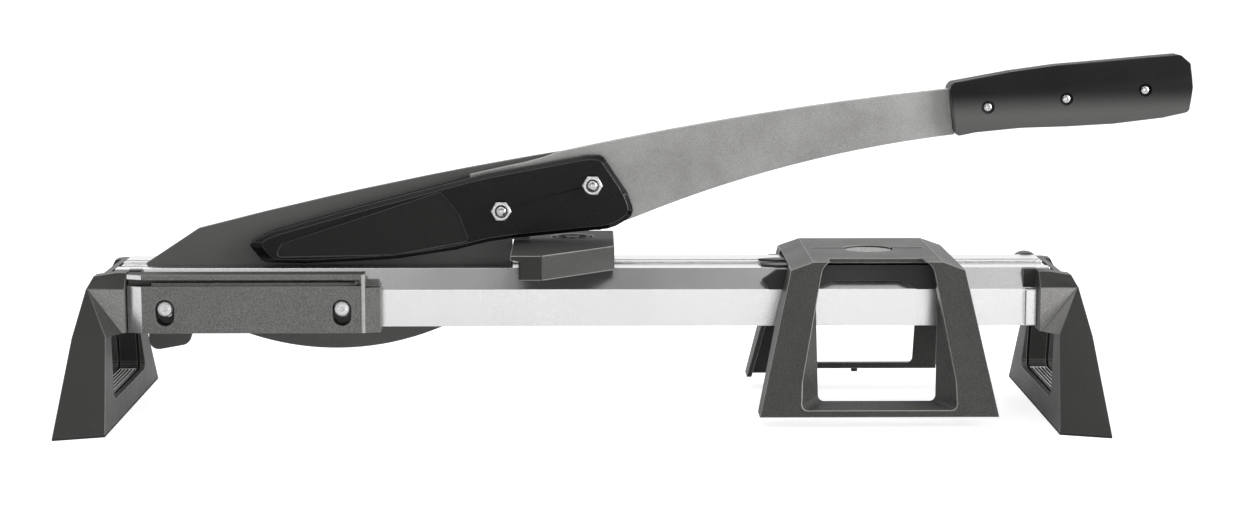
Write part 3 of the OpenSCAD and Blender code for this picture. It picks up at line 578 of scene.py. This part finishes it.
def finish(
    name, base, rough, metal=0.0, grain=0.0007, grain_depth=0.1, lines=0.0, wear_and_highlight=0.25, wear_and_highlight_tone=2.2,
    patch=0.03, patch_depth=0.12, specular=0.5, speckle=0.25, reflection_tone=1.0,
):
    """A full finish: patchy tone, edges lightened partly as rubbed finish and partly as a painted highlight,
    uneven gloss and a fine surface; a reflection tone other than one also lightens the lower half as a painted
    reflection.
    """
    if name in bpy.data.materials:
        return bpy.data.materials[name]
    material = bpy.data.materials.new(name)
    material.use_nodes = True
    tree = material.node_tree
    shader = tree.nodes["Principled BSDF"]
    shader.inputs["Metallic"].default_value = metal
    shader.inputs["Specular IOR Level"].default_value = specular
    surface = use(tree, grain_group(), Grain_size=grain)
    patches = use(tree, handling_group(), Patch_size=patch)
    edges = use(tree, edge_group())
    tone = mixed(tree, patches.outputs["Mask"], shade(base, 1 - patch_depth), shade(base, 1 + patch_depth))
    speck = mixed(tree, surface.outputs["Tone"], shade(base, 1 - speckle), shade(base, 1 + speckle))
    blend = add(tree, "ShaderNodeMix", data_type="RGBA")
    blend.inputs["Factor"].default_value = 0.5
    link(tree, tone, blend.inputs[6])
    link(tree, speck, blend.inputs[7])
    # Lightens the edges, partly as rubbed finish and partly as a painted highlight.
    worn_and_lit = maths(tree, "MULTIPLY", edges.outputs["Mask"], wear_and_highlight)
    plain = blend.outputs[2]
    # Painted reflection: with a tone other than one, the lower half is lightened towards it.
    if reflection_tone != 1.0:
        plain = mixed(tree, use(tree, painted_reflection_group()).outputs["Mask"], plain, shade(base, reflection_tone))
    link(tree, mixed(tree, worn_and_lit, plain, shade(base, wear_and_highlight_tone)), shader.inputs["Base Color"])
    gloss = ranged(tree, patches.outputs["Mask"], rough - GLOSS_SPREAD, rough + GLOSS_SPREAD)
    link(tree, gloss, shader.inputs["Roughness"])
    bump = add(tree, "ShaderNodeBump")
    bump.inputs["Strength"].default_value = grain_depth
    bump.inputs["Distance"].default_value = grain * 0.5
    height = surface.outputs["Height"]
    if lines:
        drawn = use(tree, draw_group())
        streaks = maths(tree, "MULTIPLY", drawn.outputs["Height"], lines)
        height = maths(tree, "ADD", maths(tree, "MULTIPLY", height, 0.4), streaks)
    link(tree, height, bump.inputs["Height"])
    link(tree, bump.outputs["Normal"], shader.inputs["Normal"])
    return material


def moulded():
    return finish(
        "Moulded plastic", colours().plastic, 0.44, grain=sizes().grain_size, grain_depth=0.45,
        wear_and_highlight=0.3, wear_and_highlight_tone=2.4, specular=0.4, speckle=0.6,
    )


# A coarser finish, made lighter as painted light on the feet's head panels.
def etched_and_lit():
    return finish(
        "Etched plastic, painted light", colours().etched_and_lit, 0.58, grain=0.0009, grain_depth=0.6,
        wear_and_highlight=0.3, specular=0.4, speckle=0.4,
    )


def highlight_edge(name, share, rough=0.4):
    """A painted highlight on a rounded edge's bevel faces, as a share of the edges' colour."""
    return finish(name, toned(colours().edge, share), rough, grain=0.0012, wear_and_highlight=0.0, speckle=0.2)


def moulded_edge():
    return highlight_edge("Moulded edge", 1.0)


def dark_edge():
    return highlight_edge("Dark edge", 0.35, 0.3)


# A satin finish, also darker than the plastic as painted shade on the feet's leg fronts and caps and on the
# fence and its knob.
def shaded_satin_plastic():
    return finish(
        "Satin plastic, painted shade", toned(colours().plastic, 0.7), 0.6, grain=0.0006, grain_depth=0.3,
        wear_and_highlight=0.5, wear_and_highlight_tone=3.0, specular=0.25,
    )


# The sills' near-white tone is painted light.
def lit_ribs():
    return finish("Ribbed sill, painted light", colours().lit_ribs, 0.3, grain=0.0012, wear_and_highlight=0.3, wear_and_highlight_tone=1.6)


def pad():
    """The disc in the support's top."""
    return finish("Speckled pad", colours().pad, 0.7, grain=0.0013, grain_depth=0.6, speckle=0.6, wear_and_highlight=0.1)


def dark_moulded():
    return finish(
        "Dark moulded plastic", colours().liner, 0.42, grain=0.0012, grain_depth=0.06,
        wear_and_highlight=0.5, wear_and_highlight_tone=6.0, specular=0.35,
    )


def aluminium():
    return finish(
        "Anodised aluminium", colours().aluminium, 0.24, metal=1.0, grain=0.0005, grain_depth=0.025, lines=0.1,
        wear_and_highlight=0.0, patch=0.12, patch_depth=0.05,
    )


def zinc():
    return finish(
        "Bright zinc", colours().zinc, 0.26, metal=1.0, grain=0.0006, grain_depth=0.05,
        wear_and_highlight=0.1, wear_and_highlight_tone=1.2, patch=0.01, patch_depth=0.06,
    )


# Pieces


CLIP_OUTLINE = [(267.6, -29.9), (267.6, -34.6), (268.6, -35.6), (275.0, -35.6), (275.0, -29.9)]
CLIP_SPAN = (55.8, 78.3)


class CUTTER_OT_rail(Operator):
    """Makes the slotted aluminium rail and the aluminium clip at its right end."""

    bl_idname = "cutter.rail"
    bl_label = "Rail"

    def execute(self, context):
        rail = soften(carried("rail", "base_rail"), sizes().fine_round, 2)
        dress(rail, "base", aluminium(), "anodised_aluminium", "base_rail")
        clip = solid("end_clip", CLIP_OUTLINE, "Z", *CLIP_SPAN)
        dress(soften(clip, sizes().mould_round, 3), "base", aluminium(), "anodised_aluminium")
        return {"FINISHED"}


FRONTAL = -0.95
SHOULDER = 0.08


def on_smooth_shaded(face):
    """The faces of a foot that take the darker satin as painted shade: the block over the rail's face, the
    leg's front and the sloping cap.
    """
    normal, centre = face.normal, face.center
    block = normal.y < FRONTAL and centre.z > 0.078 and abs(centre.y + 0.03) < 0.001
    leg = normal.y < -0.8 and normal.z > 0.1 and centre.z < SHOULDER
    cap = 0.5 < normal.z < 0.65 and normal.y < -0.7 and centre.z > SHOULDER
    return block or leg or cap


def on_lit_head(face):
    """The faces given the lighter, coarser finish as painted light: the head's front panel and the right
    foot's valley under it.
    """
    normal, centre = face.normal, face.center
    valley = normal.x < -0.6 and normal.y < -0.25 and normal.z > 0.4 and centre.x > 0
    panel = normal.y < FRONTAL and centre.z > 0.05 and centre.y < -0.04
    return valley or panel


def on_sill(face):
    """The ribbed bottom of a foot's window, painted near white as painted light."""
    return face.normal.z > 0.9 and face.center.z < 0.02


class CUTTER_OT_feet(Operator):
    """Makes the two splayed feet."""

    bl_idname = "cutter.feet"
    bl_label = "Feet"

    def execute(self, context):
        for side in ("left", "right"):
            node = side + "_foot"
            foot = soften(pick(carried(node + "_shell", node), on_lit_head, on_smooth_shaded), sizes().foot_round, 3)
            dress(
                foot, "base", moulded(), "grained_plastic", node,
                second=etched_and_lit(), third=shaded_satin_plastic(), edge=highlight_edge("Foot edge", 0.6),
            )
            lining = pick(carried(side + "_window_lining", node + "_liner"), on_sill)
            lining = soften(lining, sizes().fine_round, 2)
            dress(
                lining, "base", dark_moulded(), "dark_liner", node + "_liner",
                second=lit_ribs(), edge=dark_edge(),
            )
        rubber = finish("Sole rubber", colours().rubber, 0.8, grain=0.001, grain_depth=0.3)
        soles = soften(carried("soles", "foot_soles"), sizes().fine_round)
        dress(soles, "base", rubber, "sole_rubber", "foot_soles")
        return {"FINISHED"}


PLATE_END = -131


def highlight_ends(face):
    """Painted highlights in aluminium: the bevel at the plate's left end, where the left lamp catches it, and
    the narrow strip at its right end.
    """
    x = (face.center.x - RAIL_X) / MM
    strip = 0.2 < face.normal.x < 0.6 and x < PLATE_END
    return face.normal.y < -0.2 and (face.normal.x < -0.2 or strip)


def on_plate_top_shade(face):
    """The plate's upper edge, painted darker as the shade in its recess."""
    return face.normal.z > 0.35


RIB_OUTLINE = [(-133.4, -44.0), (-133.4, -44.55), (-132.7, -44.7), (-131.2, -44.4), (-131.2, -43.4)]
RIB_SPAN = (53.6, 89.0)


class CUTTER_OT_guide(Operator):
    """Makes the guide plate on the rail's front, with painted highlights in aluminium on its ends and a rib at
    its right end whose light colour is a painted highlight.
    """

    bl_idname = "cutter.guide"
    bl_label = "Guide plate"

    def execute(self, context):
        coat = finish(
            "Wrinkle coat", colours().coat, 0.42, grain=0.0008, grain_depth=1.0,
            wear_and_highlight=0.2, wear_and_highlight_tone=2.0, speckle=0.7,
        )
        # Painted shade: a darker copy of the coat on the plate's upper edge.
        coat_top_shade = finish(
            "Painted shade on the coat top", toned(colours().coat, 0.3), 0.6, grain=0.0008, grain_depth=0.8,
            wear_and_highlight=0.2, specular=0.3,
        )
        plate = soften(pick(carried("guide", "guide_plate"), highlight_ends, on_plate_top_shade), sizes().fine_round, 2)
        dress(
            plate, "guide", coat, "wrinkle_coat", "guide_plate",
            second=aluminium(), third=coat_top_shade, edge=highlight_edge("Coat edge", 0.8, 0.35),
        )
        # The rib's light colour is a painted highlight.
        rib_highlight = finish("Rib highlight", colours().rib_highlight, 0.3, grain=0.0012, wear_and_highlight=0.0, speckle=0.2)
        rib = solid("end_rib", RIB_OUTLINE, "Z", *RIB_SPAN)
        dress(soften(rib, 0.0002), "guide", rib_highlight, "wrinkle_coat")
        return {"FINISHED"}


SCREW_XS = (-251.4, -145.2)
SCREW_Z = 68.2
PAN_SHARES = ((0.55, 0.05), (0.82, 0.2), (0.97, 0.5), (1, 0.75))
PLATE_SCREW = {"top": -44.0, "radius": 4.85, "height": 3.0, "shank": 2.2, "end": -24.8}
GRIP_SCREW = {"top": -23.9, "radius": 2.9, "height": 2.4, "shank": 2.0, "end": -16.0}
COLLAR_RADIUS, COLLAR_SPAN = 4.3, (-42.0, -33.55)


def pan_screw(name, x, z, top, radius, height, shank, end):
    """A pan head screw with a star recess, its head towards the front."""
    seat = top + height
    crown = [(radius * 0.2, top - 0.02)]
    crown += [(radius * wide, top + height * deep) for wide, deep in PAN_SHARES]
    head = turned(name, x, z, crown + [(radius, seat), (shank, seat), (shank, end)])
    return carve(head, [solid("recess", star(x, z, radius * 0.42), "Y", top - 1, top + 0.45 * height)])


LEVER_PIVOT = (-252.0, 62.0)
GRIP_SCREWS = ((496.4, 125.6), (543.8, 130.6), (591.3, 135.9))
LEVER_BOLTS = ((202.26, 62.81), (257.55, 78.36))
NUT_RADIUS, NUT_SPAN = 6.4, (-26.0, -21.0)
NUT_ROUND = [(4.9, -26.2), (5.2, -26.0), (6.6, -24.9), (6.6, -20.5)]
NUT_HOLE = [(4.2, -26.5), (4.0, -25.9), (3.25, -24.6), (3.25, -20.0)]
BOLT_PROFILE = [
    (0.6, -27.45), (1.6, -27.4), (2.5, -27.1), (3.0, -26.5), (3.0, -21.0),
    (3.0, 6.0), (5.4, 6.0), (5.4, 8.6), (4.6, 9.2), (1.0, 9.2),
]
FITTINGS = {
    "base": ("foot_screws", "guide_plate_nuts", "pivot_bolt", "pivot_nut", "pivot_washers"),
    "lever": ("grip_nuts",),
    "fence": ("fence_slider",),
    "knob": ("fence_screw",),
}


def on_lever(x, z):
    """A place on the lever, measured from its pivot, in the rail's frame."""
    return LEVER_PIVOT[0] + x, LEVER_PIVOT[1] + z


class CUTTER_OT_hardware(Operator):
    """Makes the screws, bolts, nuts and washers."""

    bl_idname = "cutter.hardware"
    bl_label = "Hardware"

    def execute(self, context):
        screws = []
        for x in SCREW_XS:
            collar = drum("collar", x, SCREW_Z, COLLAR_RADIUS, *COLLAR_SPAN)
            screws += [pan_screw("screw", x, SCREW_Z, **PLATE_SCREW), collar]
        bright = finish(
            "Screw heads", toned(colours().zinc, 1.4), 0.4, metal=0.7, grain=0.0006, grain_depth=0.2, wear_and_highlight=0.0,
        )
        dress(soften(joined("plate_screws", screws), 0.00012), "base", bright, "zinc", "guide_plate_screws")
        screws = [pan_screw("screw", *on_lever(x, z), **GRIP_SCREW) for x, z in GRIP_SCREWS]
        dress(soften(joined("handle_screws", screws), 0.00012), "lever", zinc(), "zinc", "grip_screws")
        nuts, ends = [], []
        for x, z in LEVER_BOLTS:
            x, z = on_lever(x, z)
            nut = drum("nut", x, z, NUT_RADIUS, *NUT_SPAN, 6)
            carve(nut, [turned("round", x, z, NUT_ROUND)], "INTERSECT")
            nuts.append(carve(nut, [turned("hole", x, z, NUT_HOLE)]))
            ends.append(turned("end", x, z, BOLT_PROFILE))
        dress(soften(joined("cover_nuts", nuts), 0.0002), "lever", zinc(), "zinc", "lever_nuts")
        dress(joined("cover_bolts", ends), "lever", zinc(), "zinc", "lever_bolts")
        for body, nodes in FITTINGS.items():
            for node in nodes:
                dress(soften(carried(node + "_zinc", node), sizes().fine_round, 2), body, zinc(), "zinc", node)
        bronze = finish("Bronze", colours().bronze, 0.3, metal=1.0)
        bush = soften(carried("bush", "pivot_bush"), sizes().fine_round)
        dress(bush, "lever", bronze, "bronze", "pivot_bush")
        return {"FINISHED"}


HEEL_OUTLINE = [(-45, 87.5), (-43.6, 87.5), (-43.6, 105.6), (-33, 105.6), (-33, 112.5), (-45, 109.8)]
HEEL_SPAN = (-8.98, -5.02)


class CUTTER_OT_blade(Operator):
    """Makes the blade, with the heel at its left end."""

    bl_idname = "cutter.blade"
    bl_label = "Blade"

    def execute(self, context):
        steel = finish(
            "Coated steel", colours().blade, 0.42, grain=0.0009, grain_depth=0.12, wear_and_highlight=0.5, wear_and_highlight_tone=5.0,
            patch=0.06, patch_depth=0.2,
        )
        heel = solid("heel", HEEL_OUTLINE, "Y", *HEEL_SPAN)
        blade = joined("cutting_blade", [carried("plain_blade", "blade"), heel])
        dress(soften(blade, sizes().fine_round), "lever", steel, "blade_steel", "blade")
        return {"FINISHED"}


TAIL_OUTLINE = [(-69, 138), (-69, 146.3), (-50.7, 150.3), (-35.5, 153.5), (-24, 156.6), (-24, 150)]
TAIL_SPAN = (-14.9, -9.1)


class CUTTER_OT_bar(Operator):
    """Makes the lever's steel bar, with its tail over the cover."""

    bl_idname = "cutter.bar"
    bl_label = "Lever bar"

    def execute(self, context):
        steel = finish(
            "Blasted steel", colours().bar, 0.55, metal=0.35, grain=0.0008, grain_depth=0.25,
            wear_and_highlight=0.5, wear_and_highlight_tone=1.8, patch=0.035, patch_depth=0.34,
        )
        tail = solid("tail", TAIL_OUTLINE, "Y", *TAIL_SPAN)
        bar = joined("bar", [carried("plain_bar", "lever_bar"), tail])
        dress(soften(bar, sizes().fine_round), "lever", steel, "bar_steel", "lever_bar")
        return {"FINISHED"}


COVER_AT = (47.9, 30.1)
COVER_SPAN = (235.7, 66.3)
COVER_SHARES = (
    (0, 0.186), (0.037, 0.015), (0.14, 0), (0.377, 0.041), (0.536, 0.127), (0.615, 0.198),
    (0.682, 0.234), (0.772, 0.267), (0.939, 0.323), (1, 0.451), (0.978, 0.664), (0.946, 0.831),
    (0.915, 1), (0.875, 1), (0.616, 0.831), (0.497, 0.719), (0.3, 0.537), (0.064, 0.297),
)
COVER_SIDES = len(COVER_SHARES)
COVER_CUTS = [4, 4] + [18] * (COVER_SIDES - 3) + [6]
RIM_BACK, RIM_FOOT, RIM_TOP = -8.0, -18.4, -21.05
RIM_EASE = [-0.3]
RIM_SLOPES = [6.5] + [2.6] * (COVER_SIDES - 1)


def cover_outline():
    """The cover's outline from its shares of the box that it fills."""
    (x, z), (wide, high) = COVER_AT, COVER_SPAN
    return [on_lever(x + u * wide, z + v * high) for u, v in COVER_SHARES]


def on_field(face):
    """The sunk field for a label, 1 mm under the front cover's face."""
    return face.normal.y < FRONTAL and abs(face.center.y + 0.02) < 0.0003


class CUTTER_OT_covers(Operator):
    """Makes the two gloss covers of the lever; the front one has a sloping rim around its face."""

    bl_idname = "cutter.covers"
    bl_label = "Covers"

    def execute(self, context):
        gloss = finish(
            "Gloss cover", colours().cover, 0.26, grain=0.0016, grain_depth=0.05, wear_and_highlight=0.3, wear_and_highlight_tone=6.0,
            specular=0.17, patch_depth=0.3, speckle=0.2,
        )
        layers = ((RIM_BACK, RIM_EASE), (RIM_FOOT, RIM_EASE), (RIM_TOP, RIM_SLOPES))
        rings = [(y, eased(inset(cover_outline(), depths), COVER_CUTS)) for y, depths in layers]
        front = carve(carried("cover_front", "front_cover"), [loft("shape", "Y", rings)], "INTERSECT")
        field = finish(
            "Label field", toned(colours().cover, 2.0), 0.3, grain=0.0016, grain_depth=0.05,
            wear_and_highlight=0.0, specular=0.2,
        )
        front = soften(pick(front, on_field), 0.0003, 2, 14, most=20)
        # Painted highlight lines on the covers' rounded edges.
        line = highlight_edge("Cover edge", 0.18, 0.3)
        dress(front, "lever", gloss, "gloss_cover", "front_cover", second=field, edge=line)
        rear = soften(carried("cover_rear", "rear_cover"), sizes().mould_round, 3)
        dress(rear, "lever", gloss, "gloss_cover", "rear_cover", edge=line)
        return {"FINISHED"}


class CUTTER_OT_grip(Operator):
    """Makes the two scales of the grip."""

    bl_idname = "cutter.grip"
    bl_label = "Grip"

    def execute(self, context):
        # The grip's lower half is lightened as a painted reflection of the floor.
        satin = finish(
            "Grip satin", colours().grip, 0.4, grain=0.001, grain_depth=0.08, wear_and_highlight=0.1, speckle=0.12,
            specular=0.2, reflection_tone=13.0,
        )
        for name, node in (("scale_front", "grip_front"), ("scale_rear", "grip_rear")):
            dress(soften(carried(name, node), sizes().mould_round, 3), "lever", satin, "grip_plastic", node)
        return {"FINISHED"}


def on_mitre(face):
    """The fence's slanting guide face."""
    return face.normal.x > 0.4 and face.normal.y < -0.4


class CUTTER_OT_fence(Operator):
    """Makes the mitre fence and its knob."""

    bl_idname = "cutter.fence"
    bl_label = "Fence"

    def execute(self, context):
        # The fence and knob take the darker satin as painted shade under the lever; the slanting face keeps
        # the plain plastic.
        satin = shaded_satin_plastic()
        fence = soften(pick(carried("fence", "fence_block"), on_mitre), 0.0005, 3)
        dress(fence, "fence", satin, "grained_plastic", "fence_block", second=moulded(), edge=moulded_edge())
        knob = soften(carried("knob", "fence_knob"), sizes().fine_round)
        dress(knob, "knob", satin, "grained_plastic", "fence_knob")
        return {"FINISHED"}


WINDOW_LEFT, WINDOW_RIGHT, WINDOW_BACK = 0.098, 0.195, -0.045


def on_reveal(face):
    """The sides of the support's front window."""
    inside = WINDOW_LEFT < face.center.x < WINDOW_RIGHT and face.center.y < WINDOW_BACK
    return inside and abs(face.normal.x) > 0.7


def on_pad(face):
    """The disc in the support's top."""
    return face.normal.z > 0.9 and face.center.z > 0.0945


class CUTTER_OT_support(Operator):
    """Makes the sliding work support."""

    bl_idname = "cutter.support"
    bl_label = "Work support"

    def execute(self, context):
        bridge = soften(pick(carried("bridge", "support_frame"), on_reveal), 0.00045, 3)
        smooth = finish(
            "Smooth plastic", colours().plastic, 0.25, grain=0.002, grain_depth=0.06, wear_and_highlight=0.3, wear_and_highlight_tone=3.0,
        )
        dress(
            bridge, "support", moulded(), "grained_plastic", "support_frame",
            second=smooth, edge=moulded_edge(),
        )
        saddle = soften(pick(carried("saddle", "support_saddle"), on_pad), sizes().fine_round)
        dress(
            saddle, "support", dark_moulded(), "dark_liner", "support_saddle",
            second=pad(), edge=dark_edge(),
        )
        return {"FINISHED"}


# Stage


FLOOR_TONE = (0.5, 0.5, 0.5, 1)
FLOOR_SEEN = 0.8
FLOOR_MIRRORED = 0.25
FRONT_WAY = (0.0, -0.87, 0.5)
LAMPS = (
    ("top", (-0.1, 0.2, 1.6), (0, 0, 0), 1.6, 1.0, 9),
    ("right", (1.4, -0.7, 0.5), (0.1, 0, 0.1), 0.6, 0.9, 20),
    ("left", (-1.4, -0.7, 0.5), (-0.1, 0, 0.1), 0.6, 0.9, 2),
    ("low", (0.2, -2.4, 0.12), (0, 0, 0.08), 2.4, 0.2, 5),
)
LENS, SENSOR = 72.23, 36.0
NEAR, FAR = 0.05, 50.0
CAMERA_AT = (-0.0238, -1.5279, 0.3120)
CAMERA_SWING, CAMERA_DIP = -0.0121, 0.1404


def lamp(name, where, aim, wide, high, power):
    """A rectangular lamp that faces a point."""
    data = bpy.data.lights.new(name, "AREA")
    data.shape = "RECTANGLE"
    data.size = wide
    data.size_y = high
    data.energy = power
    obj = bpy.data.objects.new(name, data)
    bpy.context.scene.collection.objects.link(obj)
    obj.location = where
    obj.rotation_euler = (Vector(aim) - Vector(where)).to_track_quat("-Z", "Y").to_euler()
    return obj


def seen(tree, path):
    """One where the camera looks straight at the floor or the world."""
    return maths(tree, "MAXIMUM", path.outputs["Is Camera Ray"], path.outputs["Is Transmission Ray"])


def slope(tree, source, low, high, start=0.0, end=1.0):
    """A number that goes smoothly from start to end as the source goes from low to high."""
    node = add(tree, "ShaderNodeMapRange", interpolation_type="SMOOTHSTEP")
    for label, value in (("From Min", low), ("From Max", high), ("To Min", start), ("To Max", end)):
        node.inputs[label].default_value = value
    link(tree, source, node.inputs["Value"])
    return node.outputs["Result"]


def floor_finish():
    """A grey floor under the lamps that the camera sees as an even white."""
    material = bpy.data.materials.new("Floor")
    material.use_nodes = True
    tree = material.node_tree
    tree.nodes.remove(tree.nodes["Principled BSDF"])
    diffuse = add(tree, "ShaderNodeBsdfDiffuse")
    diffuse.inputs["Color"].default_value = FLOOR_TONE
    glow = add(tree, "ShaderNodeEmission")
    path = add(tree, "ShaderNodeLightPath")
    direct = maths(tree, "MULTIPLY", seen(tree, path), FLOOR_SEEN)
    glossy = maths(tree, "MULTIPLY", path.outputs["Is Glossy Ray"], FLOOR_MIRRORED)
    link(tree, maths(tree, "MAXIMUM", direct, glossy), glow.inputs["Strength"])
    both = add(tree, "ShaderNodeAddShader")
    link(tree, diffuse.outputs[0], both.inputs[0])
    link(tree, glow.outputs[0], both.inputs[1])
    link(tree, both.outputs[0], tree.nodes["Material Output"].inputs["Surface"])
    return material


def studio_world():
    """A white world that is dim towards the front, with a bright patch high up on each side."""
    world = bpy.data.worlds.new("Studio")
    world.use_nodes = True
    tree = world.node_tree
    around = add(tree, "ShaderNodeTexCoord").outputs["Generated"]
    towards = add(tree, "ShaderNodeVectorMath", operation="DOT_PRODUCT")
    towards.inputs[1].default_value = FRONT_WAY
    link(tree, around, towards.inputs[0])
    dim = slope(tree, towards.outputs["Value"], -0.35, 0.55, 1.0, 0.12)
    split = add(tree, "ShaderNodeSeparateXYZ")
    link(tree, around, split.inputs[0])
    side = slope(tree, maths(tree, "ABSOLUTE", split.outputs["X"], 0.0), 0.02, 0.17, 0.0, 0.85)
    patch = maths(tree, "MULTIPLY", side, slope(tree, split.outputs["Z"], 0.3, 0.55))
    direct = seen(tree, add(tree, "ShaderNodeLightPath"))
    level = maths(tree, "MAXIMUM", maths(tree, "MAXIMUM", dim, patch), direct)
    ground = tree.nodes["Background"]
    ground.inputs["Color"].default_value = (1, 1, 1, 1)
    link(tree, level, ground.inputs["Strength"])
    return world


def photo_camera():
    """The camera as it was fitted to the photo."""
    data = bpy.data.cameras.new("camera")
    data.lens = LENS
    data.sensor_width = SENSOR
    data.clip_start = NEAR
    data.clip_end = FAR
    camera = bpy.data.objects.new("camera", data)
    bpy.context.scene.collection.objects.link(camera)
    camera.location = CAMERA_AT
    dip = Matrix.Rotation(math.pi / 2 - CAMERA_DIP, 3, "X")
    camera.rotation_euler = (Matrix.Rotation(CAMERA_SWING, 3, "Z") @ dip).to_euler()
    return camera


class CUTTER_OT_stage(Operator):
    """Makes the floor, the lamps, the world and the camera."""

    bl_idname = "cutter.stage"
    bl_label = "Stage"

    def execute(self, context):
        scene = context.scene
        scene.view_settings.view_transform = "Standard"
        half = sizes().floor_size / 2
        corners = ((-half, -half), (half, -half), (half, half), (-half, half))
        bm = bmesh.new()
        bm.faces.new([bm.verts.new((x, y, 0)) for x, y in corners])
        floor = put("floor", bm)
        floor.data.materials.append(floor_finish())
        scene.world = studio_world()
        for values in LAMPS:
            lamp(*values)
        scene.camera = photo_camera()
        return {"FINISHED"}


STEPS = (
    CUTTER_OT_stage, CUTTER_OT_rail, CUTTER_OT_feet, CUTTER_OT_guide, CUTTER_OT_hardware, CUTTER_OT_blade,
    CUTTER_OT_bar, CUTTER_OT_covers, CUTTER_OT_grip, CUTTER_OT_fence, CUTTER_OT_support,
)


class CUTTER_PT_panel(Panel):
    """Lists the operators, sizes and colours."""

    bl_label = "Laminate Cutter"
    bl_idname = "CUTTER_PT_panel"
    bl_space_type = "VIEW_3D"
    bl_region_type = "UI"
    bl_category = "Cutter"

    def draw(self, context):
        for step in STEPS:
            self.layout.operator(step.bl_idname)
        for group in (context.scene.cutter_sizes, context.scene.cutter_colours):
            for key in group.__annotations__:
                self.layout.prop(group, key)


CLASSES = (CutterSizes, CutterColours, *STEPS, CUTTER_PT_panel)


def register():
    for item in CLASSES:
        bpy.utils.register_class(item)
    bpy.types.Scene.cutter_sizes = PointerProperty(type=CutterSizes)
    bpy.types.Scene.cutter_colours = PointerProperty(type=CutterColours)


def unregister():
    del bpy.types.Scene.cutter_colours
    del bpy.types.Scene.cutter_sizes
    for item in reversed(CLASSES):
        bpy.utils.unregister_class(item)


def main():
    register()
    for step in STEPS:
        group, name = step.bl_idname.split(".")
        getattr(getattr(bpy.ops, group), name)()


if __name__ == "__main__":
    main()
